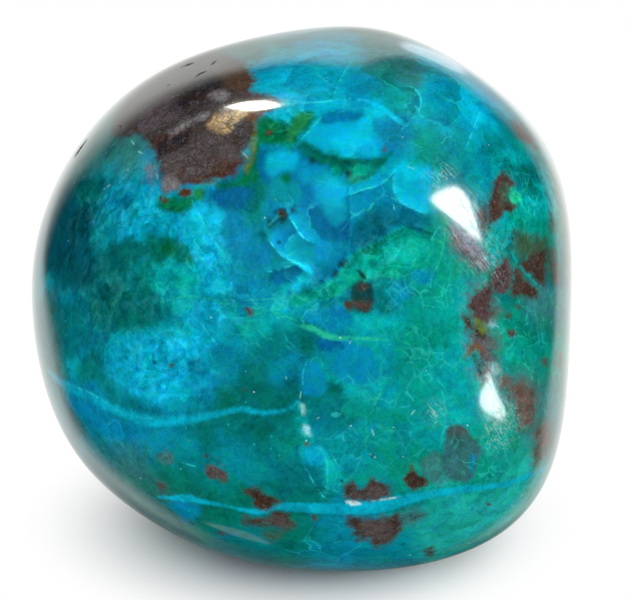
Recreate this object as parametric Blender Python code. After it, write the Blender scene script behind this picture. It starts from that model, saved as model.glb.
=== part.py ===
"""A tumbled chrysocolla pebble: one polished nugget, about 40 mm across, resting on its worn underside.

The stone is a ball worn down by a handful of broad, soft facets. Each facet is a plane at a given
distance from the heart of the stone, and all of them are blended into one smooth skin.
Lengths are in metres. +X is to the right of the front, +Y to the back, +Z up. The origin is on the
surface that the stone rests on, under the middle of its bounding box.
"""

import math

import bmesh
import bpy
from mathutils import Vector, noise

MM = 0.001

# The heart is the point that the facets are measured from. Its height is what the flat base is cut to.
HEART = Vector((1.24, 0.11, 19.5)) * MM

# Half the size of the rough ball before wear, along X, Y and Z.
ROUGH_RADII = Vector((26.0, 24.5, 26.0)) * MM

# How crisply the facets meet: higher is crisper, and 2 would be a plain ellipsoid.
CRISPNESS = 8.5

# Each worn facet: direction as azimuth (anticlockwise from +X) and elevation in degrees, then its
# distance from the heart in millimetres.
FACETS_MM = {
    "right": (-2, 0, 19.1),
    "right_bevel": (15, 51, 20.6),
    "right_low": (-12, -41, 24.9),
    "crown": (149, 76, 19.4),
    "left_shoulder": (178, 40, 21.6),
    "left": (182, -4, 22.9),
    "left_low": (-144, -39, 21.9),
    "left_underside": (-127, -70, 25.2),
    "front_top": (-90, 55, 22.0),
    "front": (-92, 12, 18.6),
    "front_right": (-50, 15, 20.4),
    "front_left": (-138, 8, 20.8),
    "front_low": (-80, -42, 23.0),
    "back_top": (82, 49, 26.1),
    "back": (92, 0, 19.5),
    "back_right": (45, -6, 21.2),
    "back_left": (138, -8, 21.8),
    "back_low": (95, -42, 22.5),
    "underside": (0, -90, 20.4),
}

# The skin of a tumbled stone isn't quite fair: it rises and falls a little.
SWELL_HEIGHT = 0.10 * MM
SWELL_LENGTH = 9.0 * MM

# Mesh fineness: cuts across each side of the starting cube.
CUTS = 25

BODY_COLOUR = (0.004, 0.195, 0.215, 1.0)
BODY_ROUGHNESS = 0.12


def clear_scene():
    for obj in list(bpy.data.objects):
        bpy.data.objects.remove(obj, do_unlink=True)


def direction(azimuth, elevation):
    """Unit vector for an azimuth and an elevation in degrees."""
    across = math.cos(math.radians(elevation))
    return Vector(
        (
            across * math.cos(math.radians(azimuth)),
            across * math.sin(math.radians(azimuth)),
            math.sin(math.radians(elevation)),
        )
    )


def facet_planes():
    """Each facet as its outward direction and its distance from the heart."""
    return [
        (direction(azimuth, elevation), distance * MM)
        for azimuth, elevation, distance in FACETS_MM.values()
    ]


def reach(ray, planes):
    """Distance from the heart to the skin along a unit ray."""
    rough = Vector([part / radius for part, radius in zip(ray, ROUGH_RADII)]).length
    total = rough**CRISPNESS
    for normal, distance in planes:
        total += max(0.0, ray.dot(normal) / distance) ** CRISPNESS
    return total ** (-1.0 / CRISPNESS)


def swell(point):
    """The gentle rise and fall of the skin at a point."""
    return SWELL_HEIGHT * noise.noise(point / SWELL_LENGTH)


def even_ray(corner):
    """Turns a point on the starting cube into a unit ray, spread evenly over the ball."""
    return Vector([math.tan(part * math.pi / 4) for part in corner]).normalized()


def worn_ball():
    """The closed skin of the stone before its base is ground flat."""
    mesh = bmesh.new()
    bmesh.ops.create_cube(mesh, size=2.0)
    bmesh.ops.subdivide_edges(mesh, edges=mesh.edges[:], cuts=CUTS, use_grid_fill=True)
    planes = facet_planes()
    for vertex in mesh.verts:
        ray = even_ray(vertex.co)
        skin = HEART + ray * reach(ray, planes)
        vertex.co = skin + ray * swell(skin)
    return mesh


def grind_base(mesh):
    """Cuts the underside off at z = 0 and closes it with one flat face."""
    cut = bmesh.ops.bisect_plane(
        mesh,
        geom=mesh.verts[:] + mesh.edges[:] + mesh.faces[:],
        plane_co=(0, 0, 0),
        plane_no=(0, 0, 1),
        clear_inner=True,
    )
    rim = [part for part in cut["geom_cut"] if isinstance(part, bmesh.types.BMEdge)]
    bmesh.ops.edgeloop_fill(mesh, edges=rim)
    bmesh.ops.recalc_face_normals(mesh, faces=mesh.faces[:])


def stone_material():
    material = bpy.data.materials.new("polished_chrysocolla")
    material.use_nodes = True
    shader = material.node_tree.nodes["Principled BSDF"]
    shader.inputs["Base Color"].default_value = BODY_COLOUR
    shader.inputs["Roughness"].default_value = BODY_ROUGHNESS
    shader.inputs["Metallic"].default_value = 0.0
    material.diffuse_color = BODY_COLOUR
    return material


def make_stone():
    shape = worn_ball()
    grind_base(shape)
    mesh = bpy.data.meshes.new("stone")
    shape.to_mesh(mesh)
    shape.free()
    mesh.materials.append(stone_material())
    mesh.shade_smooth()
    stone = bpy.data.objects.new("stone", mesh)
    bpy.context.scene.collection.objects.link(stone)
    return stone


def main():
    clear_scene()
    make_stone()


main()
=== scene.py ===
"""The look of the tumbled chrysocolla stone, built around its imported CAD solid.

The skin repeats part.py's rounded form at a finer mesh. Its markings are laid on it from named marks, each
placed by where the photograph shows it, in the photograph's 626 x 600 frame, along the camera's line of
sight. Past the outline the frame unfolds outwards, so that marks run on round the stone. Further round, the
veins go on as sheets, and the other colours and the brown patches come from slow noise. What is finer comes
from procedural textures.
"""

import math

import bmesh
import bpy
import numpy as np
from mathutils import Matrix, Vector, noise


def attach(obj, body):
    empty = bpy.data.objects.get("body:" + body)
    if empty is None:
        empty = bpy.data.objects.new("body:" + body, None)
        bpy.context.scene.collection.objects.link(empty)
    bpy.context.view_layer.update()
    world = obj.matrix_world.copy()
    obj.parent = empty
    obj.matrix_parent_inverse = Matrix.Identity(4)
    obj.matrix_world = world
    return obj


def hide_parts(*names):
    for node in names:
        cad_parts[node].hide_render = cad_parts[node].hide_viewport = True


MM = 0.001

# ---- The form, as in part.py -------------------------------------------------

HEART = np.array((1.24, 0.11, 19.5)) * MM
ROUGH_RADII = np.array((26.0, 24.5, 26.0)) * MM
CRISPNESS = 8.5
FACETS_MM = {   # azimuth and elevation in degrees, distance from the heart in mm
    "right": (-2, 0, 19.1),
    "right_bevel": (15, 51, 20.6),
    "right_low": (-12, -41, 24.9),
    "crown": (149, 76, 19.4),
    "left_shoulder": (178, 40, 21.6),
    "left": (182, -4, 22.9),
    "left_low": (-144, -39, 21.9),
    "left_underside": (-127, -70, 25.2),
    "front_top": (-90, 55, 22.0),
    "front": (-92, 12, 18.6),
    "front_right": (-50, 15, 20.4),
    "front_left": (-138, 8, 20.8),
    "front_low": (-80, -42, 23.0),
    "back_top": (82, 49, 26.1),
    "back": (92, 0, 19.5),
    "back_right": (45, -6, 21.2),
    "back_left": (138, -8, 21.8),
    "back_low": (95, -42, 22.5),
    "underside": (0, -90, 20.4),
}
SWELL_HEIGHT = 0.10 * MM
SWELL_LENGTH = 9.0 * MM
FINE_CUTS = 127      # 128 squares along each side of the starting cube: 196,608 triangles
FRONT_PULL = 0.42    # how far the mesh is gathered towards the camera's side

# ---- The camera and the photograph's frame -----------------------------------

PHOTO_WIDTH, PHOTO_HEIGHT = 626, 600
LENS_MM = 200.0
SENSOR_MM = 36.0
CAMERA_REACH = (0.01, 50.0)    # the nearest and farthest that it sees, in metres
CAMERA_ELEVATION = math.radians(20.0)
CAMERA_DISTANCE = 0.260
CAMERA_TARGET = np.array((0.85, 0.0, 19.0)) * MM
RIGHT = np.array((1.0, 0.0, 0.0))
FORWARD = np.array((0.0, math.cos(CAMERA_ELEVATION), -math.sin(CAMERA_ELEVATION)))
UP = np.cross(RIGHT, FORWARD)
CAMERA_PLACE = CAMERA_TARGET - CAMERA_DISTANCE * FORWARD
FOCAL_PX = PHOTO_WIDTH * LENS_MM / SENSOR_MM
STONE_MIDDLE_PX = np.array((304.0, 297.0))
OUTLINE_BINS = 180    # how finely the outline is followed round the stone's middle

# ---- Colours, linear ---------------------------------------------------------

COLOURS = {
    "ink": (0.0, 0.070, 0.095),
    "night": (0.004, 0.045, 0.050),
    "bottle": (0.0, 0.125, 0.120),
    "deep": (0.0, 0.150, 0.165),
    "pine": (0.0, 0.150, 0.115),
    "dusk": (0.0, 0.115, 0.170),
    "slate": (0.030, 0.170, 0.170),
    "teal": (0.0, 0.220, 0.275),
    "steel": (0.0, 0.215, 0.320),
    "sea": (0.0, 0.250, 0.225),
    "green": (0.0, 0.255, 0.190),
    "lagoon": (0.0, 0.340, 0.350),
    "emerald": (0.0, 0.295, 0.220),
    "jade": (0.0, 0.370, 0.280),
    "malachite": (0.0, 0.130, 0.050),
    "leaf": (0.010, 0.200, 0.065),
    "lime": (0.015, 0.470, 0.260),
    "bright_leaf": (0.010, 0.500, 0.250),
    "royal": (0.0, 0.108, 0.262),
    "azure": (0.0, 0.208, 0.365),
    "turquoise": (0.0, 0.330, 0.475),
    "bright": (0.0, 0.435, 0.610),
    "sky": (0.0, 0.355, 0.560),
    "cobalt": (0.0, 0.150, 0.310),
    "vein_blue": (0.0, 0.400, 0.560),
    "aqua": (0.02, 0.540, 0.580),
    "pale": (0.24, 0.66, 0.64),
    "white": (0.62, 0.86, 0.84),
    "crack": (0.02, 0.52, 0.44),
    "soot": (0.020, 0.018, 0.020),
    "umber": (0.048, 0.040, 0.036),
    "brown": (0.046, 0.028, 0.019),
    "dark_red": (0.062, 0.022, 0.012),
    "rust": (0.130, 0.055, 0.022),
    "bronze": (0.075, 0.042, 0.026),
    "lilac": (0.140, 0.135, 0.190),
    "gold": (0.480, 0.330, 0.150),
    "purple": (0.095, 0.078, 0.088),
    "maroon": (0.070, 0.040, 0.042),
    "taupe": (0.072, 0.060, 0.058),
    "ash": (0.180, 0.170, 0.175),
    "olive": (0.035, 0.085, 0.050),
    "moss": (0.110, 0.160, 0.030),
    "murk": (0.026, 0.130, 0.135),
    "peat": (0.045, 0.070, 0.066),
    # a lighter aqua that paints light onto the lower right
    "painted_lit_aqua": (0.012, 0.400, 0.365),
    "blush": (0.120, 0.078, 0.060),
}

# ---- Marks -------------------------------------------------------------------

# Soft zones of the ground: for each colour, the zones' middles and reach, in pixels
GROUND = {
    "ink": [(72, 196, 22), (66, 238, 24), (82, 262, 18)],
    "bottle": [(118, 302, 22), (140, 318, 18), (256, 378, 18), (205, 440, 18), (262, 428, 20), (524, 176, 14),
        (290, 398, 15)],
    "deep": [(110, 366, 14), (60, 330, 18), (310, 340, 14), (300, 478, 20), (252, 545, 24), (500, 140, 18),
        (388, 292, 12), (275, 350, 15), (332, 412, 14)],
    "pine": [(168, 246, 14), (256, 166, 10), (256, 192, 10), (228, 392, 15), (175, 205, 9), (228, 505, 20),
        (170, 482, 24), (385, 82, 15), (516, 252, 15), (545, 262, 14), (300, 530, 24), (536, 330, 16)],
    # The slate zones run along the rim: a painted grey of the rim's reflection
    "slate": [(120, 470, 26), (150, 515, 24), (528, 396, 18), (545, 440, 20), (556, 310, 18), (552, 390, 18),
        (400, 55, 26), (118, 140, 20)],
    "teal": [(98, 228, 16), (135, 400, 14), (188, 404, 14), (108, 440, 22), (185, 448, 18), (242, 458, 20),
        (330, 448, 20), (400, 556, 20), (455, 135, 20), (480, 185, 20), (100, 160, 16)],
    "steel": [(124, 200, 14), (152, 440, 18), (232, 362, 14), (362, 236, 12), (332, 346, 12), (340, 530, 20),
        (330, 556, 22), (284, 366, 12)],
    "sea": [(290, 440, 16), (434, 402, 22), (440, 516, 18)],
    "green": [(436, 330, 20), (440, 290, 16), (500, 460, 24), (520, 430, 20), (478, 488, 16), (510, 340, 18),
        (540, 226, 16), (430, 150, 15), (545, 360, 18)],
    # Painted light: the lower right is made lighter here than the lamps light it
    "painted_lit_aqua": [(500, 522, 26), (520, 492, 22), (436, 548, 18), (448, 520, 18), (535, 465, 14)],
    "lagoon": [(180, 278, 16), (150, 332, 14), (262, 322, 14), (370, 322, 14), (452, 312, 16), (462, 402, 22),
        (514, 160, 12), (544, 192, 16), (496, 240, 15), (395, 92, 12), (460, 350, 14), (355, 385, 12)],
    "royal": [(240, 192, 12), (336, 228, 14), (314, 196, 12)],
    "azure": [(240, 250, 18), (292, 200, 16), (320, 258, 16), (338, 205, 14), (355, 96, 14), (396, 140, 13),
        (255, 295, 12), (398, 216, 12), (88, 408, 14), (212, 380, 13)],
    "turquoise": [(152, 216, 16), (176, 218, 16), (132, 346, 14), (162, 350, 15), (172, 402, 13),
        (292, 86, 22), (328, 66, 20), (340, 104, 14), (440, 104, 20), (480, 122, 18), (300, 120, 12),
        (206, 316, 12)],
    "bright": [(196, 236, 12), (214, 270, 14), (150, 372, 14), (414, 176, 13), (375, 104, 10),
        (206, 218, 10)],
}

# Patches with an edge of their own: colour, softness of the edge in pixels, outline in pixels.
# A later patch lies over an earlier one.
PATCHES = {
    "dark_arc": ("bottle", 6, [(96, 262), (104, 248), (122, 240), (144, 240), (150, 252), (134, 264),
        (122, 278), (126, 296), (104, 290)]),
    "dark_arc_two": ("pine", 5, [(150, 246), (162, 238), (178, 240), (192, 252), (198, 266), (184, 262),
        (170, 258), (158, 266)]),
    "arc_olive": ("malachite", 5, [(162, 243), (172, 241), (176, 250), (168, 256), (162, 252)]),
    "dark_low": ("bottle", 7, [(92, 306), (108, 298), (136, 302), (152, 316), (136, 330), (108, 330)]),
    "left_cloud": ("turquoise", 7, [(108, 356), (120, 342), (146, 334), (176, 332), (200, 340), (210, 358),
        (206, 382), (184, 398), (150, 400), (124, 390), (110, 374)]),
    "cloud_top": ("sky", 9, [(150, 350), (166, 340), (188, 340), (196, 350), (184, 360), (164, 362)]),
    "cloud_low_part": ("sky", 10, [(122, 372), (140, 360), (166, 362), (190, 372), (192, 386), (166, 392),
        (138, 388)]),
    "cloud_pond": ("azure", 5, [(188, 362), (204, 358), (208, 376), (194, 380)]),
    "upper_curd": ("turquoise", 6, [(120, 216), (150, 206), (186, 218), (196, 236), (170, 236), (140, 232)]),
    "curd_column": ("turquoise", 8, [(186, 226), (204, 224), (218, 240), (226, 268), (222, 292), (206, 294),
        (198, 268), (190, 246)]),
    "curd_light": ("sky", 9, [(200, 236), (210, 238), (218, 262), (216, 286), (208, 284), (204, 258)]),
    "left_night": ("ink", 6, [(66, 226), (74, 208), (92, 206), (92, 232), (76, 244), (64, 244)]),
    # a painted grey reflection along the left rim
    "left_rim_painted_reflection": ("murk", 10, [(40, 300), (50, 290), (56, 330), (60, 370), (72, 400), (84, 430),
        (74, 440), (58, 410), (46, 370), (38, 330)]),
    # a painted lighter reflection along the top right rim, under the back strip's highlight
    "top_rim_painted_reflection": ("turquoise", 7, [(404, 40), (430, 48), (462, 66), (490, 90), (482, 98), (456, 80),
        (424, 64)]),
    "left_bottle": ("bottle", 6, [(76, 190), (92, 178), (104, 186), (98, 202), (80, 204)]),
    # painted grey reflections along the upper left rim and the crest
    "upper_left_painted_reflection": ("slate", 8, [(64, 176), (84, 138), (112, 126), (122, 140), (108, 160), (88, 176)]),
    "crest_painted_reflection": ("slate", 9, [(206, 40), (240, 34), (262, 48), (262, 62), (246, 62), (226, 52)]),
    "shoulder_green": ("malachite", 6, [(218, 186), (236, 178), (246, 166), (251, 146), (256, 122),
        (262, 126), (261, 170), (252, 184), (236, 190), (220, 194)]),
    "fringe_moss": ("moss", 5, [(250, 122), (258, 122), (256, 146), (250, 168), (244, 172), (248, 148)]),
    "green_by_red": ("leaf", 4, [(192, 190), (204, 188), (208, 194), (200, 200), (192, 198)]),
    "royal_by_brown": ("royal", 6, [(206, 192), (226, 188), (246, 190), (244, 204), (222, 208), (206, 202)]),
    "green_below_brown": ("malachite", 5, [(158, 198), (176, 198), (196, 198), (190, 208), (174, 214),
        (160, 208)]),
    "malachite_lobe": ("malachite", 4, [(257, 123), (267, 116), (276, 119), (288, 124), (297, 113),
        (313, 113), (312, 124), (303, 134), (294, 143), (276, 146), (259, 143)]),
    "malachite_gleam": ("leaf", 4, [(286, 128), (298, 115), (311, 114), (300, 132), (290, 140)]),
    "royal_field": ("cobalt", 6, [(262, 147), (284, 148), (300, 150), (314, 162), (330, 164), (346, 176),
        (350, 196), (346, 232), (326, 240), (312, 226), (300, 208), (272, 184), (262, 176)]),
    "royal_edge": ("royal", 5, [(260, 150), (268, 150), (270, 164), (264, 178), (258, 168)]),
    "royal_low": ("royal", 6, [(330, 222), (346, 220), (347, 236), (334, 240)]),
    "lobe_one": ("turquoise", 7, [(264, 160), (270, 152), (280, 154), (288, 150), (298, 154), (299, 164),
        (292, 172), (283, 170), (276, 178), (266, 172)]),
    "lobe_two": ("sky", 9, [(272, 156), (284, 152), (294, 158), (288, 168), (276, 168)]),
    "lobe_three": ("azure", 6, [(300, 163), (309, 160), (318, 166), (329, 166), (334, 176), (326, 184),
        (314, 179), (304, 181), (297, 174)]),
    "bright_middle": ("turquoise", 11, [(314, 184), (326, 174), (340, 176), (350, 190), (350, 214),
        (338, 224), (326, 214), (318, 200)]),
    "bright_core": ("sky", 10, [(326, 184), (340, 184), (346, 198), (338, 206), (328, 198)]),
    "grey_lobe": ("teal", 3, [(272, 181), (284, 173), (293, 180), (301, 190), (298, 203), (284, 206),
        (272, 198)]),
    "olive_spot": ("malachite", 5, [(283, 176), (289, 175), (291, 181), (285, 183)]),
    "plate_low": ("azure", 3, [(313, 246), (326, 240), (344, 244), (347, 256), (332, 272), (316, 281),
        (311, 268)]),
    "scale_one": ("azure", 4, [(289, 216), (300, 218), (313, 228), (320, 238), (311, 242), (300, 234)]),
    "scale_two": ("teal", 4, [(292, 246), (300, 240), (312, 246), (312, 262), (304, 264), (295, 258)]),
    "scale_three": ("azure", 3, [(268, 238), (280, 228), (290, 224), (298, 232), (288, 243), (286, 258),
        (274, 247)]),
    "dark_plate": ("cobalt", 3, [(272, 273), (284, 269), (295, 264), (305, 270), (299, 277), (286, 283),
        (272, 284)]),
    "bright_lobe": ("bright", 2.5, [(296, 262), (306, 264), (313, 272), (307, 284), (297, 289), (288, 287),
        (295, 280), (302, 273)]),
    "band_above_plate": ("steel", 3, [(350, 192), (362, 180), (378, 174), (393, 174), (380, 184),
        (362, 189)]),
    "plate_right": ("azure", 4, [(350, 198), (366, 190), (386, 184), (394, 196), (392, 206), (372, 212),
        (352, 222)]),
    "dark_gap": ("dusk", 10, [(352, 224), (362, 212), (384, 204), (404, 206), (428, 222), (416, 229),
        (396, 233), (376, 242), (358, 250), (350, 240)]),
    "oval_shadow": ("cobalt", 4, [(320, 117), (332, 111), (350, 110), (364, 113), (358, 121), (340, 124),
        (326, 126)]),
    "oval_side": ("azure", 6, [(372, 118), (388, 124), (394, 138), (388, 150), (378, 136)]),
    "sky_oval": ("sky", 4, [(308, 138), (316, 127), (332, 124), (352, 123), (364, 118), (372, 126),
        (381, 140), (378, 157), (362, 155), (346, 158), (334, 154), (320, 150)]),
    "oval_light": ("bright", 7, [(330, 136), (350, 132), (366, 134), (368, 144), (350, 148), (334, 146)]),
    "green_under_oval": ("pine", 3, [(300, 146), (314, 152), (336, 158), (352, 158), (372, 160), (392, 150),
        (384, 166), (368, 178), (352, 184), (342, 172), (330, 166), (312, 162)]),
    "green_drop": ("emerald", 3, [(333, 166), (340, 166), (341, 174), (335, 176)]),
    "green_mottle": ("green", 4, [(354, 164), (372, 164), (366, 174), (354, 176)]),
    "top_plate": ("turquoise", 2.5, [(314, 72), (333, 62), (349, 66), (334, 87)]),
    "gleam_plate": ("turquoise", 3, [(395, 174), (406, 168), (426, 172), (431, 190), (426, 214), (410, 208),
        (398, 198)]),
    "gleam": ("bright", 4, [(404, 168), (426, 170), (428, 178), (408, 180)]),
    "emerald_field": ("emerald", 2, [(311, 299), (318, 287), (335, 276), (347, 261), (357, 250), (374, 245),
        (384, 238), (393, 232), (404, 226), (415, 230), (425, 237), (432, 248), (433, 262), (414, 270),
        (404, 278), (384, 277), (366, 280), (348, 290), (330, 300)]),
    "emerald_light": ("jade", 10, [(342, 270), (362, 252), (390, 238), (416, 232), (430, 246), (414, 262),
        (386, 268), (358, 280)]),
    "emerald_wing": ("emerald", 4, [(286, 300), (304, 290), (318, 288), (312, 302), (296, 308)]),
    "notch": ("steel", 3, [(411, 273), (424, 268), (436, 272), (428, 283), (416, 283)]),
    "eye_shadow": ("night", 6, [(346, 300), (350, 286), (362, 280), (373, 285), (378, 297), (375, 309),
        (362, 313), (349, 310)]),
    "eye_side": ("deep", 4, [(376, 284), (392, 290), (398, 302), (388, 312), (376, 308)]),
    "round_teal": ("steel", 4, [(384, 286), (400, 281), (412, 290), (406, 302), (390, 304)]),
    "cell_upper": ("azure", 3, [(303, 312), (318, 309), (338, 306), (352, 316), (350, 330), (332, 330),
        (318, 324), (304, 321)]),
    "cell_blue": ("royal", 4, [(318, 340), (334, 339), (348, 344), (336, 350), (320, 350)]),
    "cell_right": ("azure", 3, [(330, 370), (335, 359), (347, 350), (361, 346), (373, 352), (377, 364),
        (374, 382), (350, 384)]),
    "cell_left": ("azure", 3, [(300, 373), (308, 360), (317, 364), (325, 377), (329, 388), (317, 396),
        (303, 391)]),
    "dark_between": ("bottle", 4, [(327, 382), (338, 382), (346, 388), (336, 393), (328, 390)]),
    "low_green": ("green", 5, [(345, 406), (368, 408), (400, 414), (396, 422), (366, 420), (346, 414)]),
    "dark_under_thread": ("bottle", 4, [(300, 334), (312, 337), (314, 350), (304, 352)]),
    "bluish_under_vein": ("azure", 4, [(168, 502), (196, 503), (200, 511), (190, 521), (176, 512)]),
    "fan_dark": ("deep", 4, [(296, 446), (312, 466), (322, 494), (306, 486), (298, 464)]),
    "fan_top": ("turquoise", 6, [(301, 452), (310, 448), (326, 452), (328, 462), (316, 464), (304, 462)]),
    "fan_lobe": ("lagoon", 5, [(323, 462), (335, 462), (342, 473), (337, 489), (327, 490), (325, 476)]),
    "vein_glow": ("azure", 6, [(64, 390), (84, 402), (112, 414), (150, 428), (138, 440), (104, 436),
        (78, 416)]),
    "white_cloud": ("lagoon", 5, [(297, 404), (306, 403), (308, 412), (306, 420), (312, 429), (311, 438),
        (302, 436), (298, 425), (296, 414)]),
    "white_core": ("pale", 3, [(300, 403), (306, 404), (306, 413), (301, 412)]),
    "white_core_low": ("pale", 4, [(302, 425), (310, 428), (309, 436), (303, 434)]),
    "hexagon_side": ("slate", 3, [(422, 461), (432, 452), (444, 455), (443, 472), (446, 483), (433, 482),
        (423, 474)]),
    "hexagon": ("murk", 2.5, [(446, 434), (455, 424), (464, 429), (473, 438), (481, 449), (478, 462),
        (473, 476), (462, 481), (451, 480), (442, 471), (444, 456)]),
    "hexagon_streak": ("azure", 3, [(471, 456), (475, 460), (473, 471), (469, 470)]),
    "bright_green_spot": ("bright_leaf", 2.5, [(510, 190), (517, 193), (521, 200), (513, 204), (509, 199)]),
    "dark_teal_spot": ("bottle", 3, [(502, 160), (510, 160), (515, 167), (508, 172), (501, 168)]),
    "dark_green_streak": ("bottle", 3, [(523, 164), (530, 171), (534, 183), (539, 194), (534, 198),
        (526, 188), (521, 176)]),
    "olive_field": ("olive", 7, [(514, 232), (530, 236), (547, 240), (547, 262), (532, 260), (518, 254)]),
    "spot_one": ("night", 3, [(276, 210), (284, 207), (289, 215), (284, 222), (276, 218)]),
    "spot_two": ("night", 2.5, [(288, 208), (294, 206), (297, 211), (291, 213)]),
    "spot_three": ("night", 4, [(267, 219), (273, 218), (274, 225), (269, 226)]),
    "dark_bits_one": ("night", 2, [(337, 267), (343, 259), (347, 262), (342, 268)]),
    "dark_bits_two": ("night", 2, [(331, 275), (336, 270), (338, 275), (333, 278)]),
    "dark_bits_three": ("night", 2, [(357, 271), (363, 272), (367, 277), (361, 278)]),
    "dark_bits_four": ("night", 2, [(310, 160), (315, 159), (316, 164), (311, 165)]),
    "dark_bits_five": ("night", 2, [(346, 171), (351, 172), (350, 178), (346, 177)]),
    "pale_flake": ("pale", 3, [(483, 323), (490, 321), (496, 326), (488, 327)]),
    "pale_lip": ("lagoon", 3, [(466, 338), (476, 338), (486, 344), (488, 352), (476, 344)]),
    "rings": ("pale", 3, [(484, 362), (490, 360), (498, 369), (494, 377), (490, 385), (486, 378)]),
}

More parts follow.
